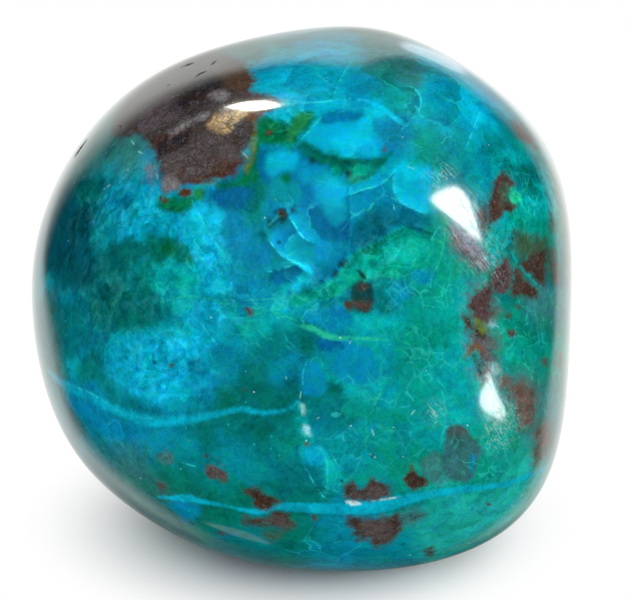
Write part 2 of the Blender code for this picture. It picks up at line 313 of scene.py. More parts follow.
# Brown patches, laid over all the rest in the same way
BROWNS = {
    "shoulder": ("umber", 4, [(228, 53), (246, 62), (254, 76), (258, 82), (252, 90), (268, 95), (285, 103),
        (270, 113), (258, 120), (255, 134), (250, 146), (243, 152), (246, 160), (238, 173), (222, 180),
        (200, 186), (182, 186), (179, 192), (161, 190), (160, 176), (155, 160), (148, 146), (136, 136),
        (120, 138), (110, 128), (122, 100), (150, 60), (184, 40), (206, 46)]),
    # greyer brown along the upper left rim: a painted grey reflection over the brown
    "shoulder_painted_reflection": ("taupe", 12, [(118, 136), (130, 104), (164, 74), (214, 56), (222, 70), (186, 84),
        (150, 102), (134, 132)]),
    "shoulder_purple": ("purple", 6, [(138, 118), (160, 98), (186, 98), (180, 114), (158, 126), (142, 132)]),
    "shoulder_soot": ("soot", 8, [(172, 108), (184, 90), (198, 78), (222, 74), (220, 90), (204, 104),
        (188, 114)]),
    "shoulder_grey": ("ash", 4, [(208, 94), (222, 90), (230, 95), (220, 101), (210, 100)]),
    "shoulder_red": ("bronze", 8, [(218, 72), (244, 64), (252, 76), (254, 84), (246, 92), (230, 88)]),
    "fringe": ("maroon", 3, [(240, 94), (258, 92), (276, 97), (262, 101)]),
    "band": ("dark_red", 4, [(152, 150), (160, 138), (176, 130), (188, 130), (186, 142), (166, 150),
        (158, 162)]),
    "band_soot": ("soot", 6, [(160, 142), (176, 134), (190, 131), (190, 142), (178, 150), (162, 162),
        (154, 160)]),
    "low_taupe": ("taupe", 6, [(160, 160), (184, 146), (208, 134), (230, 140), (236, 154), (224, 166),
        (206, 176), (180, 180), (162, 174)]),
    "right_red": ("dark_red", 5, [(240, 124), (254, 120), (253, 140), (244, 150), (234, 136)]),
    "low_red": ("dark_red", 4, [(180, 182), (204, 176), (224, 168), (240, 162), (238, 172), (222, 180),
        (200, 186)]),
    "low_ochre": ("bronze", 10, [(212, 167), (222, 160), (231, 163), (224, 171), (214, 172)]),
    "low_ash": ("ash", 6, [(162, 180), (172, 176), (180, 182), (178, 189), (164, 190)]),
    # a painted golden sheen round the top lamp's highlight
    "glow": ("gold", 7, [(208, 126), (218, 115), (236, 110), (254, 113), (260, 117), (248, 121), (236, 128),
        (222, 134)]),
    "glow_dark": ("umber", 4, [(234, 124), (248, 116), (252, 130), (246, 146), (236, 138)]),
    # a painted orange sheen under the top lamp's highlight
    "painted_orange_sheen": ("rust", 4, [(248, 112), (266, 112), (262, 119), (250, 121)]),
    # a painted pale highlight streak across the brown
    "painted_shine_streak": ("ash", 5, [(170, 131), (184, 123), (204, 113), (208, 117), (190, 126), (174, 134)]),
    "side_ash": ("ash", 9, [(144, 168), (150, 163), (156, 170), (156, 178), (149, 180)]),
    "red_bits": ("dark_red", 2.5, [(179, 190), (190, 188), (192, 196), (182, 198)]),
    "red_bit_left": ("dark_red", 2.5, [(160, 196), (168, 196), (166, 202), (160, 202)]),
    "lobe_dot": ("dark_red", 2.5, [(266, 130), (271, 129), (272, 134), (267, 135)]),
    "spot_core": ("dark_red", 2, [(280, 212), (284, 212), (285, 217), (281, 217)]),
    "eye_upper": ("umber", 3, [(357, 287), (361, 281), (367, 283), (368, 289), (362, 292)]),
    "eye_left": ("bronze", 4, [(345, 304), (352, 299), (360, 301), (371, 301), (375, 304), (368, 310),
        (356, 309), (347, 308)]),
    "red_spot": ("dark_red", 2.5, [(245, 309), (250, 308), (253, 313), (249, 315)]),
    "red_dot": ("dark_red", 2, [(243, 389), (246, 389), (247, 392), (243, 392)]),
    "cloud_dot": ("brown", 2, [(169, 364), (173, 364), (173, 366), (169, 366)]),
    "oval_dot": ("brown", 2, [(382, 148), (387, 148), (387, 152), (382, 152)]),
    "right_upper": ("brown", 3, [(497, 174), (504, 171), (511, 176), (516, 184), (511, 189), (510, 199),
        (516, 207), (512, 213), (504, 213), (497, 223), (489, 228), (486, 219), (488, 204), (491, 190)]),
    "right_upper_olive": ("olive", 4, [(503, 182), (509, 186), (507, 202), (502, 204)]),
    "right_upper_tail": ("umber", 6, [(476, 208), (488, 202), (492, 226), (482, 240), (474, 226)]),
    "triangle": ("brown", 3.5, [(518, 264), (530, 254), (545, 249), (548, 262), (547, 278), (544, 290),
        (532, 278)]),
    "wedge": ("brown", 3.5, [(514, 270), (519, 268), (528, 280), (540, 292), (536, 300), (520, 298),
        (510, 293)]),
    "oval": ("maroon", 2.5, [(494, 268), (501, 262), (507, 258), (512, 263), (513, 276), (511, 288),
        (504, 294), (495, 290), (490, 281)]),
    "rim_right": ("olive", 4, [(548, 158), (560, 178), (568, 210), (574, 250), (576, 290), (566, 290),
        (563, 250), (558, 210), (550, 180)]),
    "rim_upper": ("bronze", 4, [(511, 122), (522, 124), (534, 136), (541, 151), (534, 151), (524, 142),
        (515, 134)]),
    "rim_dark": ("umber", 4, [(548, 214), (554, 216), (556, 228), (551, 234)]),
    "rim_middle": ("blush", 5, [(550, 248), (556, 252), (560, 270), (558, 286), (552, 280)]),
    # purple brown under the window's highlight, with a painted lilac sheen over it
    "sheen": ("purple", 8, [(448, 222), (462, 222), (476, 238), (490, 258), (492, 270), (480, 274),
        (464, 262), (452, 248)]),
    "painted_lilac_sheen": ("lilac", 6, [(455, 222), (468, 226), (486, 250), (490, 266), (476, 258), (462, 242)]),
    "column_haze": ("purple", 11, [(468, 292), (486, 284), (498, 300), (496, 330), (500, 352), (494, 384),
        (480, 388), (472, 360), (464, 334)]),
    "column_top": ("maroon", 4, [(466, 305), (475, 290), (488, 283), (496, 292), (490, 304), (496, 314),
        (484, 322), (472, 316)]),
    "column_two": ("brown", 4, [(462, 318), (470, 314), (476, 324), (486, 328), (490, 334), (480, 339),
        (470, 334)]),
    "column_moss": ("moss", 3, [(473, 318), (481, 320), (488, 330), (484, 335), (476, 328)]),
    "column_three": ("rust", 3.5, [(467, 344), (476, 343), (484, 351), (474, 353), (464, 357)]),
    "column_four": ("soot", 4, [(472, 353), (482, 358), (485, 368), (481, 376), (474, 368)]),
    "column_side": ("purple", 4, [(488, 331), (495, 332), (499, 344), (493, 349), (487, 346)]),
    "ring_spot": ("maroon", 2.5, [(508, 330), (514, 328), (517, 334), (512, 339), (507, 336)]),
    "small_spot": ("brown", 2.5, [(504, 318), (509, 311), (513, 313), (510, 318)]),
    "smaller_spot": ("brown", 2, [(516, 305), (520, 305), (520, 310), (517, 310)]),
    "faint_spot": ("blush", 5, [(497, 378), (510, 375), (512, 383), (503, 391), (498, 387)]),
    "rim_ring": ("taupe", 3, [(541, 358), (548, 359), (548, 366), (542, 365)]),
    "rim_low": ("rust", 4, [(558, 352), (564, 355), (562, 370), (556, 366)]),
    # brown patches at the lower right rim, lightened to blush as a painted reflection of the rim
    "right_low": ("blush", 8, [(508, 386), (524, 378), (537, 390), (540, 410), (534, 428), (520, 430),
        (512, 408)]),
    "right_lowest": ("blush", 8, [(534, 430), (546, 418), (554, 424), (554, 444), (546, 460), (536, 470),
        (531, 456)]),
    "speckled": ("taupe", 3, [(205, 466), (212, 463), (222, 469), (229, 474), (226, 483), (214, 480),
        (206, 476)]),
    "speckled_top": ("bottle", 3, [(214, 459), (222, 459), (225, 466), (216, 465)]),
    "low_one": ("brown", 3, [(243, 491), (252, 487), (262, 490), (273, 496), (283, 502), (272, 508),
        (262, 512), (255, 507), (251, 499)]),
    "low_two": ("brown", 4, [(243, 514), (252, 517), (266, 516), (273, 510), (285, 512), (297, 525),
        (288, 531), (262, 526), (245, 526)]),
    "low_two_taupe": ("taupe", 7, [(266, 519), (282, 516), (290, 525), (278, 528)]),
    "low_two_tail": ("olive", 6, [(262, 530), (284, 532), (280, 540), (266, 538)]),
    "above_vein": ("brown", 4, [(343, 495), (345, 486), (352, 481), (361, 487), (372, 479), (381, 480),
        (391, 488), (392, 496), (378, 501), (355, 502)]),
    "below_vein": ("brown", 4.5, [(346, 517), (380, 516), (402, 511), (419, 508), (420, 515), (408, 524),
        (400, 531), (396, 539), (387, 546), (375, 549), (368, 542), (355, 540), (352, 530), (346, 526)]),
    "below_vein_taupe": ("taupe", 8, [(362, 522), (380, 520), (394, 524), (390, 536), (374, 542),
        (362, 534)]),
    "above_vein_taupe": ("taupe", 7, [(352, 488), (362, 492), (376, 486), (386, 490), (376, 497),
        (356, 498)]),
    "below_vein_grey": ("slate", 4, [(400, 513), (420, 508), (430, 514), (416, 524), (402, 526)]),
    "by_hexagon": ("brown", 2.5, [(402, 479), (408, 472), (412, 463), (417, 472), (430, 482), (421, 489),
        (414, 492), (408, 486)]),
    "hexagon_top": ("peat", 6, [(448, 434), (456, 426), (466, 430), (468, 437), (456, 438)]),
    "low_dot": ("brown", 3, [(424, 549), (432, 546), (437, 551), (430, 557), (424, 555)]),
    "grey_disc": ("slate", 3, [(157, 455), (165, 449), (174, 455), (173, 464), (163, 466), (157, 461)]),
    "faint_red": ("taupe", 4, [(157, 482), (166, 482), (167, 491), (158, 491)]),
    "dot_one": ("umber", 2, [(204, 454), (208, 453), (209, 457), (205, 458)]),
    "dot_two": ("umber", 2.5, [(311, 516), (316, 515), (317, 520), (312, 520)]),
    "dot_three": ("umber", 3, [(218, 531), (226, 532), (226, 536), (219, 535)]),
    "dot_four": ("maroon", 2, [(305, 443), (309, 443), (309, 447), (305, 447)]),
    "dot_five": ("maroon", 2, [(487, 501), (491, 501), (491, 505), (487, 505)]),
}

# Veins: colour, softness in pixels, then x, y and width along the line
VEINS = {
    "upper": ("vein_blue", 4, [(48, 370, 2), (58, 380, 5), (68, 386, 9), (82, 393, 9), (98, 401, 8),
        (116, 410, 8), (132, 416, 8), (150, 421, 9), (170, 422, 8), (195, 419, 6), (218, 414, 5),
        (240, 409, 5), (256, 412, 5), (274, 412, 4), (290, 408, 3), (299, 402, 2)]),
    "lower": ("vein_blue", 2.2, [(158, 497, 2), (170, 498, 4), (185, 498, 8), (200, 501, 5), (215, 504, 4),
        (230, 507, 2), (247, 511, 4), (262, 512, 5), (276, 507, 6), (292, 507, 9), (327, 509, 10),
        (345, 509, 11), (365, 508, 13), (385, 505, 14), (400, 501, 12), (414, 498, 9), (432, 494, 7),
        (475, 488, 6), (502, 485, 5), (516, 481, 4), (546, 468, 3)]),
    "lower_white": ("white", 2, [(347, 502, 3), (354, 504, 7), (364, 506, 5), (370, 505, 2)]),
    "lower_white_end": ("white", 2, [(386, 505, 2), (390, 506, 5), (395, 505, 2)]),
    "thread": ("lime", 2.5, [(298, 326, 2), (312, 328, 5), (322, 334, 5), (336, 338, 5), (352, 338, 3),
        (386, 340, 2)]),
    "band_top_right": ("bright", 2.5, [(376, 104, 2), (390, 114, 5), (400, 121, 6), (406, 125, 3)]),
    "cyan_dots": ("aqua", 2, [(333, 415, 4), (337, 415, 5)]),
}

# Fine lines: colour, width in pixels, then points
LINES = {
    "oval_side": ("aqua", 1.5, [(323, 115), (312, 128), (302, 139)]),
    "over_oval": ("aqua", 1.4, [(282, 104), (318, 102), (346, 99), (372, 101)]),
    "drop_top_right": ("aqua", 1.8, [(402, 86), (415, 89), (421, 100), (418, 112), (408, 122), (401, 130)]),
    "top_split": ("aqua", 1.3, [(333, 98), (341, 78), (351, 60)]),
    "top_split_low": ("aqua", 1.0, [(316, 74), (334, 86)]),
    "arc_far_right": ("aqua", 1.3, [(480, 112), (473, 130), (467, 146)]),
    "plate_edge": ("aqua", 1.5, [(349, 195), (362, 190), (380, 185), (391, 176)]),
    "gleam_edge": ("aqua", 1.6, [(393, 172), (394, 190), (400, 201), (412, 208), (427, 214)]),
    "gleam_edge_low": ("aqua", 1.1, [(391, 194), (395, 211)]),
    "scale_edge_one": ("aqua", 1.5, [(288, 216), (295, 225), (300, 234), (310, 242)]),
    "scale_edge_two": ("aqua", 1.8, [(267, 238), (273, 246), (283, 257), (296, 262), (307, 268)]),
    "scale_edge_three": ("aqua", 2.0, [(285, 247), (289, 239), (299, 232)]),
    "scale_edge_four": ("aqua", 1.4, [(268, 272), (282, 269), (296, 263)]),
    "middle_edge": ("azure", 1.6, [(349, 196), (349, 214), (348, 234)]),
    "bright_diagonal": ("sky", 2.4, [(328, 184), (338, 190), (347, 195)]),
    "lobe_edge": ("azure", 1.2, [(268, 200), (266, 212), (265, 232), (263, 246)]),
    "green_vein_right": ("lime", 1.8, [(446, 226), (441, 257), (432, 277), (430, 290)]),
    "green_vein_cross": ("lime", 1.8, [(430, 237), (437, 241), (446, 241)]),
    "teal_vein_cross": ("aqua", 1.1, [(441, 225), (430, 240)]),
    "green_thread_one": ("lime", 1.6, [(166, 301), (190, 296), (215, 300), (250, 300), (302, 297)]),
    "green_thread_two": ("lime", 1.4, [(214, 303), (240, 306), (272, 312), (300, 322)]),
    "green_thread_three": ("lime", 1.2, [(238, 318), (262, 313), (290, 305)]),
    "brown_dash": ("gold", 2.0, [(240, 150), (248, 158)]),
    "diagonal": ("lagoon", 3.0, [(512, 254), (520, 266), (530, 277), (545, 290)]),
    "oval_gap": ("lagoon", 1.8, [(514, 262), (514, 278), (511, 294)]),
    "fan_left": ("aqua", 1.5, [(303, 464), (312, 480), (322, 495), (328, 500)]),
    "fan_middle": ("aqua", 1.2, [(318, 446), (327, 462), (327, 486)]),
    "fan_far": ("aqua", 1.0, [(330, 452), (341, 470), (344, 474)]),
    "fan_base": ("aqua", 1.2, [(323, 486), (332, 490), (340, 492)]),
    "upper_vein_light": ("aqua", 1.6, [(60, 380), (70, 385), (86, 391), (102, 400), (114, 408)]),
    "upper_vein_light_two": ("aqua", 1.0, [(110, 406), (124, 413), (140, 418), (156, 418)]),
    "lower_vein_light": ("white", 1.6, [(370, 501), (386, 499), (400, 497)]),
    "dash_left": ("aqua", 1.4, [(181, 462), (190, 465), (197, 467)]),
    "cloud_arc": ("lagoon", 1.0, [(107, 370), (105, 352), (112, 338), (128, 326)]),
    "cloud_arc_right": ("aqua", 1.6, [(200, 322), (210, 335), (218, 346)]),
    "sweep_left": ("aqua", 1.4, [(192, 200), (200, 215), (212, 238), (224, 253)]),
    "sweep_far_left": ("aqua", 1.0, [(184, 240), (185, 218), (194, 206)]),
    "cell_light": ("aqua", 1.3, [(307, 361), (303, 373), (303, 386)]),
    "cell_arc": ("aqua", 1.0, [(303, 318), (307, 311), (318, 309)]),
    "branch_one": ("lagoon", 1.5, [(350, 394), (362, 388), (380, 382)]),
    "branch_two": ("lagoon", 1.2, [(338, 399), (356, 395), (376, 390)]),
    "column_streak": ("aqua", 1.4, [(466, 337), (476, 340), (485, 348)]),
    "flake_streak": ("pale", 1.2, [(490, 322), (499, 327)]),
    "crack_one": ("soot", 1.2, [(194, 78), (200, 74), (209, 70)]),
    "crack_two": ("soot", 1.2, [(180, 68), (190, 64), (195, 63)]),
    "crack_three": ("soot", 1.4, [(210, 66), (217, 60)]),
    "crack_four": ("soot", 1.4, [(74, 158), (80, 149), (88, 138)]),
}

# Flecks, each a short stroke: for each colour, widths, starts and ends, in pixels
FLECKS = {
    "pale": [(1.5, (286, 376), (287, 384)), (1.2, (301, 391), (300, 399)), (1.8, (349, 344), (351, 341)),
        (1.5, (316, 419), (320, 417)), (2.0, (372, 429), (374, 436)), (1.5, (411, 415), (415, 410)),
        (2.0, (370, 454), (376, 458)), (2.2, (408, 166), (414, 169)), (1.7, (402, 137), (405, 137)),
        (1.7, (397, 146), (399, 149)), (1.8, (409, 555), (412, 555)), (1.8, (511, 505), (514, 506)),
        (1.7, (519, 497), (523, 494)), (1.9, (137, 151), (144, 154)), (2.1, (151, 188), (155, 193)),
        (1.6, (131, 140), (136, 147)), (1.4, (156, 172), (159, 182)), (1.3, (103, 190), (111, 184))],
    "bottle": [(2.4, (486, 366), (488, 368)), (2.4, (490, 374), (492, 375)), (2.4, (486, 381), (488, 383))],
    "soot": [(2.0, (119, 125), (121, 127)), (1.8, (167, 85), (171, 85)), (1.8, (410, 47), (418, 51))],
}

# Soft light, or where below 0 shade, beside a line: strength and reach in pixels on its right-hand side, as
# the picture is seen, and on its left-hand side, then points
SHADES = {
    "scale_one": ((0.85, 18), (-0.3, 12), [(311, 242), (303, 238), (297, 231), (288, 215)]),
    "scale_two": ((0.95, 20), (-0.35, 14), [(304, 270), (296, 264), (287, 259), (279, 253), (272, 245),
        (268, 237)]),
    "scale_three": ((0.45, 10), (-0.25, 9), [(285, 246), (288, 240), (293, 234), (300, 231)]),
    "dark_plate": ((0.35, 8), None, [(298, 263), (290, 266), (280, 269), (269, 272)]),
    "dark_plate_shade": ((-0.35, 12), None, [(269, 272), (280, 269), (290, 266), (304, 266)]),
    "plate_low_shade": ((-0.4, 10), None, [(347, 252), (340, 264), (320, 284), (308, 292)]),
    "plate": ((0.45, 20), (-0.35, 14), [(392, 175), (380, 185), (362, 190), (349, 195)]),
    "gleam": ((0.3, 14), (-0.35, 14), [(427, 214), (412, 208), (400, 201), (394, 190), (393, 172)]),
    "middle": ((0.2, 16), (-0.35, 14), [(349, 236), (350, 215), (349, 200)]),
    "oval_shade": ((-0.5, 12), None, [(306, 142), (320, 153), (346, 160), (366, 158), (380, 158)]),
    "over_oval": ((0.3, 12), None, [(318, 102), (346, 99), (372, 101), (400, 120)]),
    "drop": ((0.22, 16), (-0.2, 12), [(401, 130), (408, 122), (418, 112), (421, 100), (415, 89), (402, 86)]),
    "top_split": ((-0.25, 14), None, [(351, 60), (341, 78), (333, 98)]),
    "far_right_arc": ((0.25, 14), None, [(467, 146), (473, 130), (480, 112)]),
    "cloud_low": ((0.25, 12), None, [(106, 372), (140, 392), (190, 394)]),
    "cloud_left": ((0.25, 14), None, [(105, 372), (105, 350), (113, 338), (128, 326)]),
    "sweep": ((0.3, 14), None, [(192, 200), (200, 215), (212, 238), (224, 253)]),
    "upper_vein_shade": ((-0.25, 10), None, [(246, 402), (200, 412), (160, 414), (120, 404)]),
    "lower_vein_shade": ((-0.25, 9), None, [(420, 506), (380, 515), (330, 517), (290, 516)]),
    "emerald_shade": ((-0.65, 12), None, [(345, 268), (358, 252), (376, 244), (392, 234), (410, 226),
        (430, 232)]),
    "hexagon_shade": ((-0.2, 12), None, [(446, 434), (456, 424), (474, 438), (481, 449)]),
}

# Where each fine texture tells: middles and reach, in pixels
TEXTURES = {
    "curdled": [(385, 258, 40), (95, 215, 34), (320, 290, 26), (280, 130, 20), (350, 168, 20), (150, 215, 45),
        (205, 260, 34), (160, 290, 40), (160, 360, 52), (110, 300, 40), (225, 300, 30)],
    "crackled": [(420, 300, 40), (430, 350, 48), (400, 400, 44), (440, 430, 40), (480, 470, 44),
        (520, 380, 40), (270, 320, 36), (520, 320, 40), (300, 300, 26), (520, 200, 30)],
    "plated": [(300, 90, 44), (400, 90, 44), (460, 110, 44), (300, 220, 40), (370, 210, 36), (340, 350, 34),
        (450, 150, 36), (470, 520, 36), (330, 550, 40), (350, 460, 36), (110, 440, 32)],
    "speckled": [(230, 420, 44), (260, 380, 34), (280, 440, 40), (200, 440, 40), (300, 420, 34),
        (380, 440, 34)],
    "streaked": [(525, 200, 34), (510, 240, 28), (500, 170, 26), (110, 200, 34), (85, 250, 30),
        (480, 250, 30)],
    "smooth": [(345, 140, 34), (285, 165, 26), (330, 200, 30), (296, 250, 34), (355, 365, 20), (315, 378, 14),
        (410, 190, 22), (330, 255, 20)],
    "crazed": [(175, 110, 46), (200, 155, 36), (230, 130, 26)],
    "pitted": [(200, 73, 9), (187, 66, 9), (213, 63, 7), (81, 149, 11), (120, 126, 4), (169, 85, 4)],
    # scuffed lies round the lamps' highlights: its white there paints their haze, besides scratching the
    # polish
    "scuffed": [(444, 178, 13), (470, 232, 17), (484, 256, 19), (494, 272, 14), (466, 208, 14),
        (506, 418, 18), (490, 376, 11), (498, 436, 14), (232, 116, 12), (434, 412, 9)],
}

# How much each fine texture tells at most on the far side
MOST_BEHIND = {"pitted": 0.0, "scuffed": 0.15, "smooth": 0.4, "other": 0.8}

# ---- How the marks are laid --------------------------------------------------

FAR = -3.0                  # a field's value well outside a mark, in units of its edge's softness
SMOOTH_STEPS = 5            # how many pieces each stretch of a smooth line is made of
PATCH_BLEND = 0.6           # how far a patch's colour runs into the one below, in units of softness
LINE_REACH_PX = 5.0         # how far from a line its fields are worked out
LINE_TIP = 0.25             # a line's width at its tips, as a share
VEIN_REACH_PX = 20.0
LAMP_SPOT = 8.0             # how widely a lamp's corner takes the skin's slope, in square pixels
GROUND_WANDER_PX = 9.0      # how far the zones' edges wander
GROUND_WANDER_MM = 1.6      # over what length
EDGE_WANDER_PX = 2.2        # how far the edges of patches wander
EDGE_WANDER_MM = 0.8
FAR_WANDER_PX = 26.0        # how far marks past the outline are pushed about
FAR_WANDER_MM = 5.0

# The far side. Pairs of turns say how far the skin is turned away where something starts and is complete.
FAR_LADDER = ("ink", "bottle", "pine", "green", "sea", "teal", "lagoon", "turquoise", "azure", "royal")
FAR_SHARE = 0.03            # how much of it shows between the ground's zones
FAR_LENGTH_MM = 9.0
FAR_CONTRAST = 0.75
PUSH_TURN = (0.0, 0.2)
PAST_OUTLINE = (0.05, 0.45)
PAST_WANDER = 0.35          # how far that edge wanders
PAST_WANDER_MM = 5.0
PAST_WANDER_TURN = (0.0, 0.15)
FAR_BROWN_LENGTH_MM = 8.0
FAR_BROWN_LEVEL = 0.42
FAR_BROWN_STEEPNESS = 12
FAR_BROWN_TURN = (0.02, 0.25)
FAR_BROWN_HUE_MM = 2.0
FAR_BROWN_HUE = (-0.4, 0.4)
FAR_TEXTURE_TURN = (-0.1, 0.2)
FAR_TEXTURE_LENGTH_MM = 7.0
FAR_TEXTURE_LEVEL = (-0.15, 0.35)

# Each vein is the edge of a sheet, which goes on round the far side: height at x = 0, rise per mm, width
VEIN_SHEETS_MM = {
    "upper": (14.5, -0.10, 0.5),
    "lower": (9.4, 0.03, 0.8),
}
SHEET_SOFTNESS_MM = 0.16
SHEET_TURN = 0.02           # how far the skin is turned away where the sheets take over
SHEET_WAVE_MM = 1.2         # how far the sheets rise and fall
SHEET_WAVE_LENGTH_MM = 8.0
SHEET_SWELL = (0.7, 0.8)    # their mean width as a share, and how far it varies
SHEET_SWELL_LENGTH_MM = 5.0

# Offsets that make the wandering values differ from one another
GROUND_SEEDS, EDGE_SEEDS, PUSH_SEEDS = (1, 2), (3, 4), (5, 6)
LADDER_SEED = 9
FIRST_TEXTURE_SEED = 11
BROWN_SEED, BROWN_HUE_SEED = 21, 22
WAVE_SEED, SWELL_SEED = 31, 32
PAST_SEED = 33

# ---- Fine textures -----------------------------------------------------------

# Noises: length in mm, detail, roughness, distortion
SWIRL = (3.0, 3.0)
CLOUDS = (2.4, 4.0, 0.55)
CURDS = (0.75, 4.0, 0.62, 0.8)
GRAIN = (0.17, 2.0, 0.6)
FIBRES = (0.45, 4.0, 0.62, 0.5)
TINT = (1.3, 4.0, 0.6)
FINE_TINT = (0.33, 3.0, 0.6)
FOLDS = (0.8, 6.0, 0.66, 0.3)
LAYERS = (2.6, 1.6, 0.5)
LIPS = (1.4, 2.0)
MOTTLE = (0.8, 5.0, 0.7, 0.6)
BROWN_GRAIN = (0.16, 2.0, 0.6)
SPECKLE = (0.24, 3.0, 0.7)
RAGGED = (0.55, 5.0, 0.65)
FILLING = (1.8, 3.0)
SCRATCHES = (0.15, 3.0, 0.7)
CROSS_SCRATCHES = (0.17, 3.0, 0.7)
DENTS = (2.2, 3.0)

# How strongly each texture tells: contrasts for lighter and darker, shares for another colour
CLOUD_CONTRAST, CURD_CONTRAST, GRAIN_CONTRAST, FIBRE_CONTRAST = 0.9, 1.15, 0.7, 2.6
SMOOTHED = 0.65                     # how much of that goes where the stone is smooth
GREENER, BLUER = (0.9, 1.07, 0.84), (1.1, 0.95, 1.15)    # the multipliers that the tint runs between
CURD_LIGHTER, CURD_LIGHT, CURD_SHARE = 1.5, (0.02, 0.05, 0.05), 0.5
WATER_DARKER = 0.28
LAYER_COUNT, LAYER_CONTRAST = 6.0, 0.42
PLATE_TILT, PLATE_CONTRAST, LIP_SHARE = 0.13, 0.24, 0.5
LINE_SHARE = 0.6
RAGGED_EDGE, RAGGED_VEIN = 3.6, 0.6
PURPLE_SHARE, RED_SHARE, ASH_SHARE, BLACK_CRACK_SHARE = 0.5, 0.35, 0.40, 0.8
MOTTLE_CONTRAST, BROWN_GRAIN_CONTRAST = 2.2, 1.4
# the scuffs' white share: whitened scratches, and with them a painted haze round the highlights
CROSS_SCRATCH_SHARE, SCRATCH_AND_HIGHLIGHT_WHITE = 0.6, 0.22

# The polish
POLISHED, GRAIN_ROUGHNESS, SCUFF_ROUGHNESS = 0.03, 0.16, 0.18
COAT, SCUFFED_COAT = 0.6, 0.35      # its weight, and how much of it goes where the stone is scuffed
GRAIN_RELIEF, DENT_RELIEF = 0.12, 1.2
RELIEF_STRENGTH, RELIEF_HEIGHT = 0.14, 0.03 * MM

BEND_MM = 2.4                       # how far the plates' edges are bent
PLATE_MM = 2.9
PLATE_SLOPE = (0.5, -0.4, 0.75)     # the way each plate lightens
BROWN_GRAIN_MM = 0.55
BROWN_CRACK_MM = 0.62

FIBRE_STRETCH = ((1.0, 1.0, 4.5), (0.25, 0.35, 0.0))    # how each pattern is drawn out, and how it is turned
FOLD_STRETCH = ((1.0, 1.0, 1.5), (0.5, 0.0, 0.4))
SCRATCH_STRETCH = ((1.0, 1.0, 16.0), (0.0, -0.7, 0.0))
CROSS_SCRATCH_STRETCH = ((1.0, 1.0, 12.0), (0.0, 0.6, 0.0))
LAMP_STRETCH = ((14.0, 14.0, 3.0), (0.0, 0.0, 0.0))

# Hair cracks: size of their net, half width as a share of it, strength, offset
CRACKS = (
    (2.3, 0.022, 0.42, 0.0),
    (0.95, 0.042, 0.50, 40.0),
)

# Specks: size of the net they are strewn in, how much commoner where speckled, radius, strength, offset
# and colour
SPECKS = (
    (0.75, 0.20, 0.11, 0.60, 13.0, "white"),
    (1.10, 0.12, 0.20, 0.80, 29.0, "ink"),
    (0.60, 0.20, 0.20, 0.40, 47.0, "aqua"),
)

# ---- Studio ------------------------------------------------------------------

WORLD_LIGHT = 0.72
WORLD_COLOUR = (0.98, 0.99, 1.0)
WHITE_LIGHT = (1.0, 1.0, 1.0)
PAPER_DARK, PAPER_LIGHT = (0.86, 0.87, 0.87), (0.90, 0.905, 0.91)
PAPER_FIBRE = (0.002, 4.0)          # length in metres, detail
FOOT_MIRRORED = (0.8, 1.0, 1.0)     # the colour and strength of the dark that the foot mirrors
FOOT_STRENGTH = 0.12
TENT_COLOUR = (0.97, 0.98, 0.95)
TENT_EDGE, TENT_FULL = 54, 37       # degrees from the view direction: where its white starts, and is full
TENT_ABOVE = 0.55                   # how bright it is above the horizon
TENT_LOW = 0.50                     # how bright it is low down at the sides
TENT_CORNERS = {-1: 0.13, 1: 0.10}  # how much narrower it is at the upper corners, left and right
TENT_TOP = 0.15                     # how much wider and brighter it is at the top
TENT_RIGHT = 0.15                   # how much wider it is on the right
FLOOR_RADIUS = 2.4
DOME_RADIUS = 2.2
DOME_RINGS = (64, 32)
TENT_RADIUS = 1.8
FOOT_SHADE = 0.018                  # how far the dark round the foot reaches, as the stone mirrors it
FOOT_SHADE_HEIGHT = 0.0001
FLOOR_MIDDLE = (0.0, 0.003, 0.0)    # the middle of the stone's foot
FLOOR_NEAR = 0.0085                 # where the floor starts to glow; nearer the foot, the glow held back paints a round shade
FLOOR_FAR = 0.022                   # from where it is as white as the backdrop

SOFTBOXES = {   # place in metres, size in metres, power in watts, colour
    "key": ((0.50, -0.10, 0.85), 0.7, 4.5, (1.0, 0.99, 0.97)),
    "front_fill": ((-0.25, -0.90, 0.55), 0.8, 3.0, (0.98, 0.99, 1.0)),
}

# Lamps by the outline of their reflection in the stone: distance in metres, strength, colour, and outline in
# pixels
LAMPS = {
    "top_lamp": (0.45, 34.0, (1.0, 0.94, 0.82), [(221, 108), (234, 103), (255, 100), (274, 101), (284, 106),
        (270, 110), (246, 112)]),
    "window": (0.4, 26.0, (1.0, 0.99, 0.97), [(426, 197), (436, 187), (456, 183), (471, 197), (478, 216),
        (487, 248), (474, 244), (463, 230), (449, 218), (436, 208)]),
    "side_lamp": (0.06, 18.0, (1.0, 1.0, 0.98), [(477, 404), (479, 392), (484, 379), (488, 366), (493, 378),
        (499, 394), (508, 412), (504, 424), (494, 420), (484, 414)]),
    "back_strip": (0.5, 1.1, (0.95, 0.98, 1.0), [(396, 38), (430, 49), (474, 71), (468, 78), (428, 60),
        (396, 47)]),
    "floor_card": (0.05, 0.4, (1.0, 0.94, 0.84), [(194, 518), (232, 527), (262, 537), (280, 546), (256, 542),
        (226, 533)]),
}


# ---- Skin --------------------------------------------------------------------

def direction(azimuth, elevation):
    flat = math.cos(math.radians(elevation))
    return np.array((
        flat * math.cos(math.radians(azimuth)),
        flat * math.sin(math.radians(azimuth)),
        math.sin(math.radians(elevation)),
    ))


def reach(rays):
    """How far the skin is from the heart along each ray, in metres."""
    total = np.linalg.norm(rays / ROUGH_RADII, axis=1) ** CRISPNESS
    for azimuth, elevation, distance in FACETS_MM.values():
        total += np.clip(rays @ direction(azimuth, elevation) / (distance * MM), 0, None) ** CRISPNESS
    return total ** (-1 / CRISPNESS)


def unit(vectors):
    return vectors / np.linalg.norm(vectors, axis=-1, keepdims=True)


